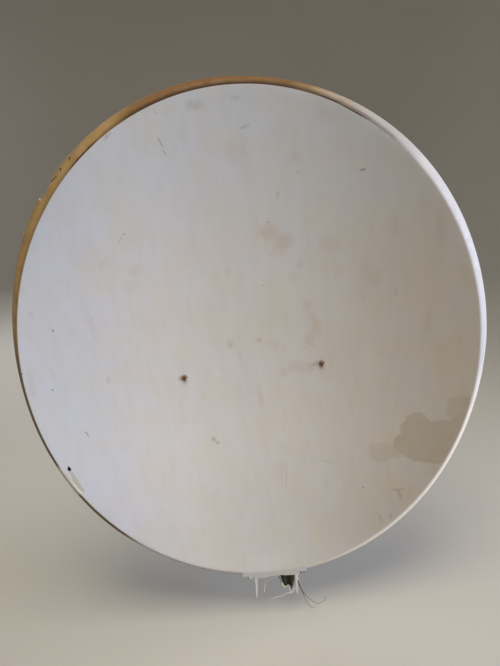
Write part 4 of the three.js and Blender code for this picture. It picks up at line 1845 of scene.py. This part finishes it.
@dataclass
class Strand:
    """A thin strand along a smooth route, which thins towards its end."""

    name: str
    material: Material
    slot: str
    radius: float
    route: tuple[Place, ...]
    end_share: float = 0.45
    resolution: int = 6

    def build(self) -> Object:
        """Sweep a small round section along the route."""
        curve = bpy.data.curves.new(self.name, "CURVE")
        curve.dimensions = "3D"
        curve.bevel_depth = self.radius
        curve.bevel_resolution = 2
        curve.use_fill_caps = True
        spline = curve.splines.new("BEZIER")
        spline.bezier_points.add(len(self.route) - 1)
        spline.resolution_u = self.resolution
        for k, (point, place) in enumerate(zip(spline.bezier_points, self.route)):
            point.co = place
            point.handle_left_type = point.handle_right_type = "AUTO"
            point.radius = 1 - (1 - self.end_share) * k / (len(self.route) - 1)
        holder = bpy.data.objects.new(self.name + "_route", curve)
        bpy.context.scene.collection.objects.link(holder)
        mesh = bpy.data.meshes.new_from_object(holder)
        bm = bmesh.new()
        bm.from_mesh(mesh)
        bpy.data.meshes.remove(mesh)
        bpy.data.objects.remove(holder)
        bpy.data.curves.remove(curve)
        bmesh.ops.remove_doubles(bm, verts=bm.verts, dist=WELD)
        bmesh.ops.recalc_face_normals(bm, faces=bm.faces)
        return finish_piece(bm, self.name, [self.material], sharp=60)


@dataclass
class BottomLip:
    """Flat lip at the foot of the rim with its two holes, and what hangs torn from it.

    Torn and frayed are the breaks round the right and the left hole, as points from its middle. The
    strips bend out of their plane below a height, along a curve of so much depth, turn and lean. The
    flap's top is its left end, its right end and its height.
    """

    finishes: Finishes
    front: float = 0.4
    thickness: float = 4.0
    gap: float = 0.3
    drill: Span = (-10, 20)
    hole: Place = (65.0, -537.0, 3.5)
    torn: tuple[Point, ...] = ((-7, 3.4), (1, 5.2), (5.5, 3), (1, -2.9), (-5, -1.2))
    frayed: tuple[Point, ...] = ((-5, 4.6), (2, 5.0), (4.4, 1.4), (0.6, -2.6), (-4.6, -0.4))
    foot: tuple[Point, ...] = (
        (-75.7, -531.5), (-68.5, -534.5), (-62.5, -539.6), (-53, -540.6), (-45.5, -540.6), (-30, -541.2),
        (-16.4, -541.6), (-12.2, -538.1), (-2, -538.0), (9.9, -538.4), (17.2, -538.0), (24.3, -539.8),
        (42.5, -541.1), (60.9, -540.4), (70.6, -537.9), (77.7, -534.6),
    )
    flap_top: Place = (10.0, 49.0, -530.0)
    flap_foot: tuple[Point, ...] = (
        (17.0, -566), (21.5, -574), (25.0, -571), (29.0, -576), (33.5, -574), (37.0, -581), (41.0, -579), (45.0, -566),
    )
    flap_rows: int = 14
    flap_columns: int = 28
    flap_y: float = 5.4
    flap_thickness: float = 1.0
    folds: Span = (2.1, 0.3)
    fold_depth: float = 4.6
    flap_curl: float = 1.5
    crumple: Span = (6.0, 0.6)
    strip_depth: Span = (0.7, 1.9)
    bend_from: float = -546.0
    bend_length: float = 60.0
    bend: Place = (2.2, 2.4, 0.6)
    strip_left: tuple[Point, ...] = (
        (-48.5, -539.5), (-41, -539.5), (-42.6, -552), (-43.5, -560), (-43.6, -572), (-45.6, -586),
        (-47.3, -600), (-49.4, -600), (-49.0, -586), (-47.6, -572), (-47.4, -558),
    )
    strip_right: tuple[Point, ...] = (
        (47.8, -539.5), (55, -539.5), (53.4, -556), (52.6, -570), (52.8, -584), (50.4, -603), (48.2, -603),
        (47.6, -584), (47.8, -570), (48.6, -556),
    )

    def top_line(self) -> list[Point]:
        """The lip's top edge, just outside the bowl's rim."""
        width, height = FORM.half_width + self.gap, FORM.half_height + self.gap
        first, last = (math.acos(x / width) for x in (LIP_RIGHT, LIP_LEFT))
        steps = 16
        turns = [first + (last - first) * k / steps for k in range(steps + 1)]
        return [(width * math.cos(t), -height * math.sin(t)) for t in turns]

    def tab(self) -> Object:
        """The lip itself."""
        foot = ragged(self.foot, step=3.5, depth=0.4, seed=17, closed=False)
        bm = slab(foot + self.top_line(), self.front, self.thickness)
        x, z, radius = self.hole
        tools = [cylinder(side.value * x, z, radius, *self.drill) for side in Side]
        for side, edge, seed in ((Side.RIGHT, self.torn, 4), (Side.LEFT, self.frayed, 6)):
            outline = [(side.value * x + across, z + up) for across, up in edge]
            tools.append(slab(ragged(outline, step=2.0, depth=0.4, seed=seed), *self.drill))
        # The holes and their torn edges are lined near black: painted shade.
        bm = carved(bm, [painted(tool, Skin.CRACK) for tool in tools])
        return finish_piece(bm, "lip_tab", self.finishes.moulding, ["bottom_lip"])

    def strip(self, name: str, outline: Sequence[Point], seed: int) -> Object:
        """One strip of skin that hangs from the lip, bent a little out of its plane."""
        bm = slab(ragged(outline, step=3.0, depth=0.45, seed=seed), *self.strip_depth)
        depth, turn, lean = self.bend
        for vert in bm.verts:
            drop = max(self.bend_from - vert.co.z, 0) / self.bend_length
            vert.co.y += depth * math.sin(turn * drop) - lean * drop
        return finish_piece(bm, f"hanging_strip_{name}", [self.finishes.strand], [f"torn_strip_{name}"])

    def mat_flap(self) -> Object:
        """Dark inner mat that hangs from behind the lip in loose folds, with a torn foot; its near-black colour is
        partly painted shade of the hollow under the lip.
        """
        bm = bmesh.new()
        bmesh.ops.create_grid(bm, x_segments=self.flap_columns, y_segments=self.flap_rows, size=0.5)
        left, right, top = self.flap_top
        size, crumpled = self.crumple
        for vert in bm.verts:
            across, down = vert.co.x + 0.5, 0.5 - vert.co.y
            step = across * (len(self.flap_foot) - 1)
            before = min(int(step), len(self.flap_foot) - 2)
            foot = [a + (b - a) * (step - before) for a, b in zip(self.flap_foot[before], self.flap_foot[before + 1])]
            x = left + (right - left) * across
            place = Vector((x + (foot[0] - x) * down, 0, top + (foot[1] - top) * down))
            wave = 2 * math.pi * (self.folds[0] * across + self.folds[1] * down)
            fold = math.sin(wave) + crumpled * noise.noise(place / size)
            depth = self.flap_y + down * (self.fold_depth * fold - self.flap_curl * down)
            vert.co = Vector((place.x, depth, place.z))
        bmesh.ops.solidify(bm, geom=bm.faces[:], thickness=self.flap_thickness)
        bmesh.ops.recalc_face_normals(bm, faces=bm.faces)
        return finish_piece(bm, "inner_mat_flap", [self.finishes.dark_mat], ["torn_flap"])

    def build(self) -> None:
        """Build the lip, strips, flap and strands."""
        self.tab()
        self.strip("left", self.strip_left, seed=31)
        self.strip("right", self.strip_right, seed=37)
        self.mat_flap()
        for strand in self.strands():
            strand.build()

    def strands(self) -> list[Strand]:
        """The glass strands and fibres, each along its own route in x, y and z."""
        pale, brown = self.finishes.strand, self.finishes.brown_fibre
        return [
            Strand("glass_strand_left", pale, "laminate", 1.1, (
                (3.0, 5.0, -539.0), (2.0, 6.0, -545.0), (-11.2, 7.0, -553.6), (-23.6, 8.0, -562.4),
                (-26.6, 7.0, -573.6), (-28.7, 5.0, -588.0))),
            Strand("glass_strand_long", pale, "laminate", 1.2, (
                (51.5, 2.5, -566.0), (51.0, 4.0, -575.9), (46.8, 4.0, -583.3), (41.0, 3.0, -591.4),
                (35.0, 2.0, -595.8), (25.0, 1.5, -595.2), (12.8, 0.0, -599.7), (1.0, -2.0, -600.6),
                (-9.4, -4.0, -600.5))),
            Strand("glass_strand_curl", pale, "laminate", 1.0, (
                (38.0, 2.6, -594.5), (32.6, 3.0, -590.9), (31.3, 4.0, -583.3), (34.5, 5.0, -577.2),
                (38.2, 5.2, -574.6))),
            Strand("glass_strand_fork", pale, "laminate", 0.9, (
                (39.5, 2.2, -593.5), (42.2, 3.0, -587.8), (42.4, 4.0, -580.2), (44.8, 5.0, -575.0))),
            Strand("glass_strand_loop", pale, "laminate", 0.8, (
                (51.0, 1.6, -551.0), (54.0, 3.0, -554.5), (56.2, 4.0, -561.7), (55.2, 4.2, -569.0),
                (51.8, 3.5, -576.0))),
            Strand("brown_fibre_low", brown, "dark_laminate", 0.75, (
                (52.0, 2.0, -560.0), (54.8, 3.0, -568.0), (59.9, 0.0, -587.5), (64.4, -4.0, -604.1),
                (72.1, -8.0, -622.3), (80.1, -11.0, -634.4), (85.7, -11.0, -636.5), (89.0, -10.0, -632.5))),
            Strand("brown_fibre_high", brown, "dark_laminate", 0.75, (
                (52.5, 2.0, -566.0), (55.3, 3.0, -574.0), (60.9, 0.0, -590.7), (71.5, -3.0, -607.1),
                (82.4, -6.0, -618.8), (96.2, -8.0, -626.8), (104.5, -8.0, -625.4), (112.7, -7.0, -618.8),
                (116.5, -6.0, -609.8))),
            Strand("green_film_strip", self.finishes.green, "dark_laminate", 1.5, (
                (8.5, 3.6, -538.0), (9.0, 4.0, -542.0), (12.5, 4.0, -554.6), (16.6, 3.4, -567.3))),
            Strand("mint_film_tip", self.finishes.mint, "laminate", 2.2, (
                (16.2, 3.2, -565.5), (17.0, 1.6, -569.5), (20.5, 0.0, -573.2), (25.0, -1.0, -572.6),
                (28.6, -2.0, -569.8))),
        ]


@dataclass(frozen=True)
class SoftLight:
    """A square soft light, with its place and side in metres and its power in watts.

    Spread is the angle in degrees that it shines over, as with a grid on a softbox.
    """

    name: str
    place: Place
    side: float
    power: float
    colour: str
    spread: float = 180.0

    def hang(self, target: Place) -> None:
        """Hang the light so that it faces a point."""
        light = bpy.data.lights.new(self.name, "AREA")
        light.size, light.energy = self.side, self.power
        light.spread = math.radians(self.spread)
        light.color = linear(self.colour)[:3]
        obj = bpy.data.objects.new(self.name, light)
        aim = (Vector(target) - Vector(self.place)).to_track_quat("-Z", "Y").to_matrix().to_4x4()
        obj.matrix_world = Matrix.Translation(self.place) @ aim
        bpy.context.scene.collection.objects.link(obj)


@dataclass
class Studio:
    """Pale sweep, soft lights and the camera, none of them part of the dish."""

    paint: Material
    floor: float = -0.536
    reach: float = 3.2
    fillet: float = 1.6
    wall: float = 5.2
    camera_place: Place = (-0.0004, -1.1640, 0.5606)
    camera_turn: Place = (70.21, 5.627, -2.117)
    lens: float = 29.25
    lit_point: Place = (0.0, -0.1, 0.1)
    lights: tuple[SoftLight, ...] = (
        SoftLight("window_light", (2.69, -0.82, 0.34), 1.2, 16.5, "#E7ECFF", 80),
        SoftLight("ceiling_light", (0.0, -1.06, 2.73), 1.5, 50, "#FFF1D1"),
        SoftLight("back_light", (-1.4, 2.6, 1.5), 2.0, 34, "#FFFFFF"),
    )
    air: str = "#DDE2E8"
    air_strength: float = 0.07

    def sweep(self) -> None:
        """Floor that turns up into a wall all round."""
        arc = [(self.reach + self.fillet * math.sin(t), self.fillet * (1 - math.cos(t)))
               for t in (math.radians(7.5 * k) for k in range(13))]
        profile = [(0.0, 0.0), (0.5 * self.reach, 0.0), *arc, (self.reach + self.fillet, self.wall)]
        bm = spun(profile, steps=96)
        bmesh.ops.transform(bm, matrix=Matrix.Rotation(math.pi / 2, 4, "X"), verts=bm.verts)
        bmesh.ops.translate(bm, verts=bm.verts, vec=(0, 0, self.floor))
        mesh = bpy.data.meshes.new("studio_sweep")
        bm.to_mesh(mesh)
        bm.free()
        mesh.materials.append(self.paint)
        mesh.shade_smooth()
        obj = bpy.data.objects.new("studio_sweep", mesh)
        bpy.context.scene.collection.objects.link(obj)

    def build(self) -> None:
        """Set up the sweep, the lights, the world and the camera."""
        self.sweep()
        for light in self.lights:
            light.hang(self.lit_point)
        world = bpy.data.worlds.new("studio_air")
        world.use_nodes = True
        background = world.node_tree.nodes["Background"].inputs
        background["Color"].default_value = linear(self.air)
        background["Strength"].default_value = self.air_strength
        bpy.context.scene.world = world
        camera = bpy.data.cameras.new("photo_view")
        camera.lens, camera.sensor_width = self.lens, 36.0
        holder = bpy.data.objects.new("photo_view", camera)
        holder.location = self.camera_place
        holder.rotation_euler = Euler([math.radians(a) for a in self.camera_turn], "XYZ")
        bpy.context.scene.collection.objects.link(holder)
        bpy.context.scene.camera = holder
        bpy.context.scene.view_settings.view_transform = "Standard"


def main() -> None:
    """Build the studio and every sub-assembly."""
    logging.basicConfig(level=logging.INFO, format="%(name)s: %(message)s")
    finishes = Finishes.made()
    Studio(finishes.paint).build()
    Reflector(finishes).build()
    RimFlange(finishes).build()
    BottomLip(finishes).build()
    for side in Side:
        FaceFixing(finishes, side).build()
    rear = RearFrame(finishes)
    rear.build()
    FrameFasteners(finishes, rear).build()


if __name__ == "__main__":
    main()
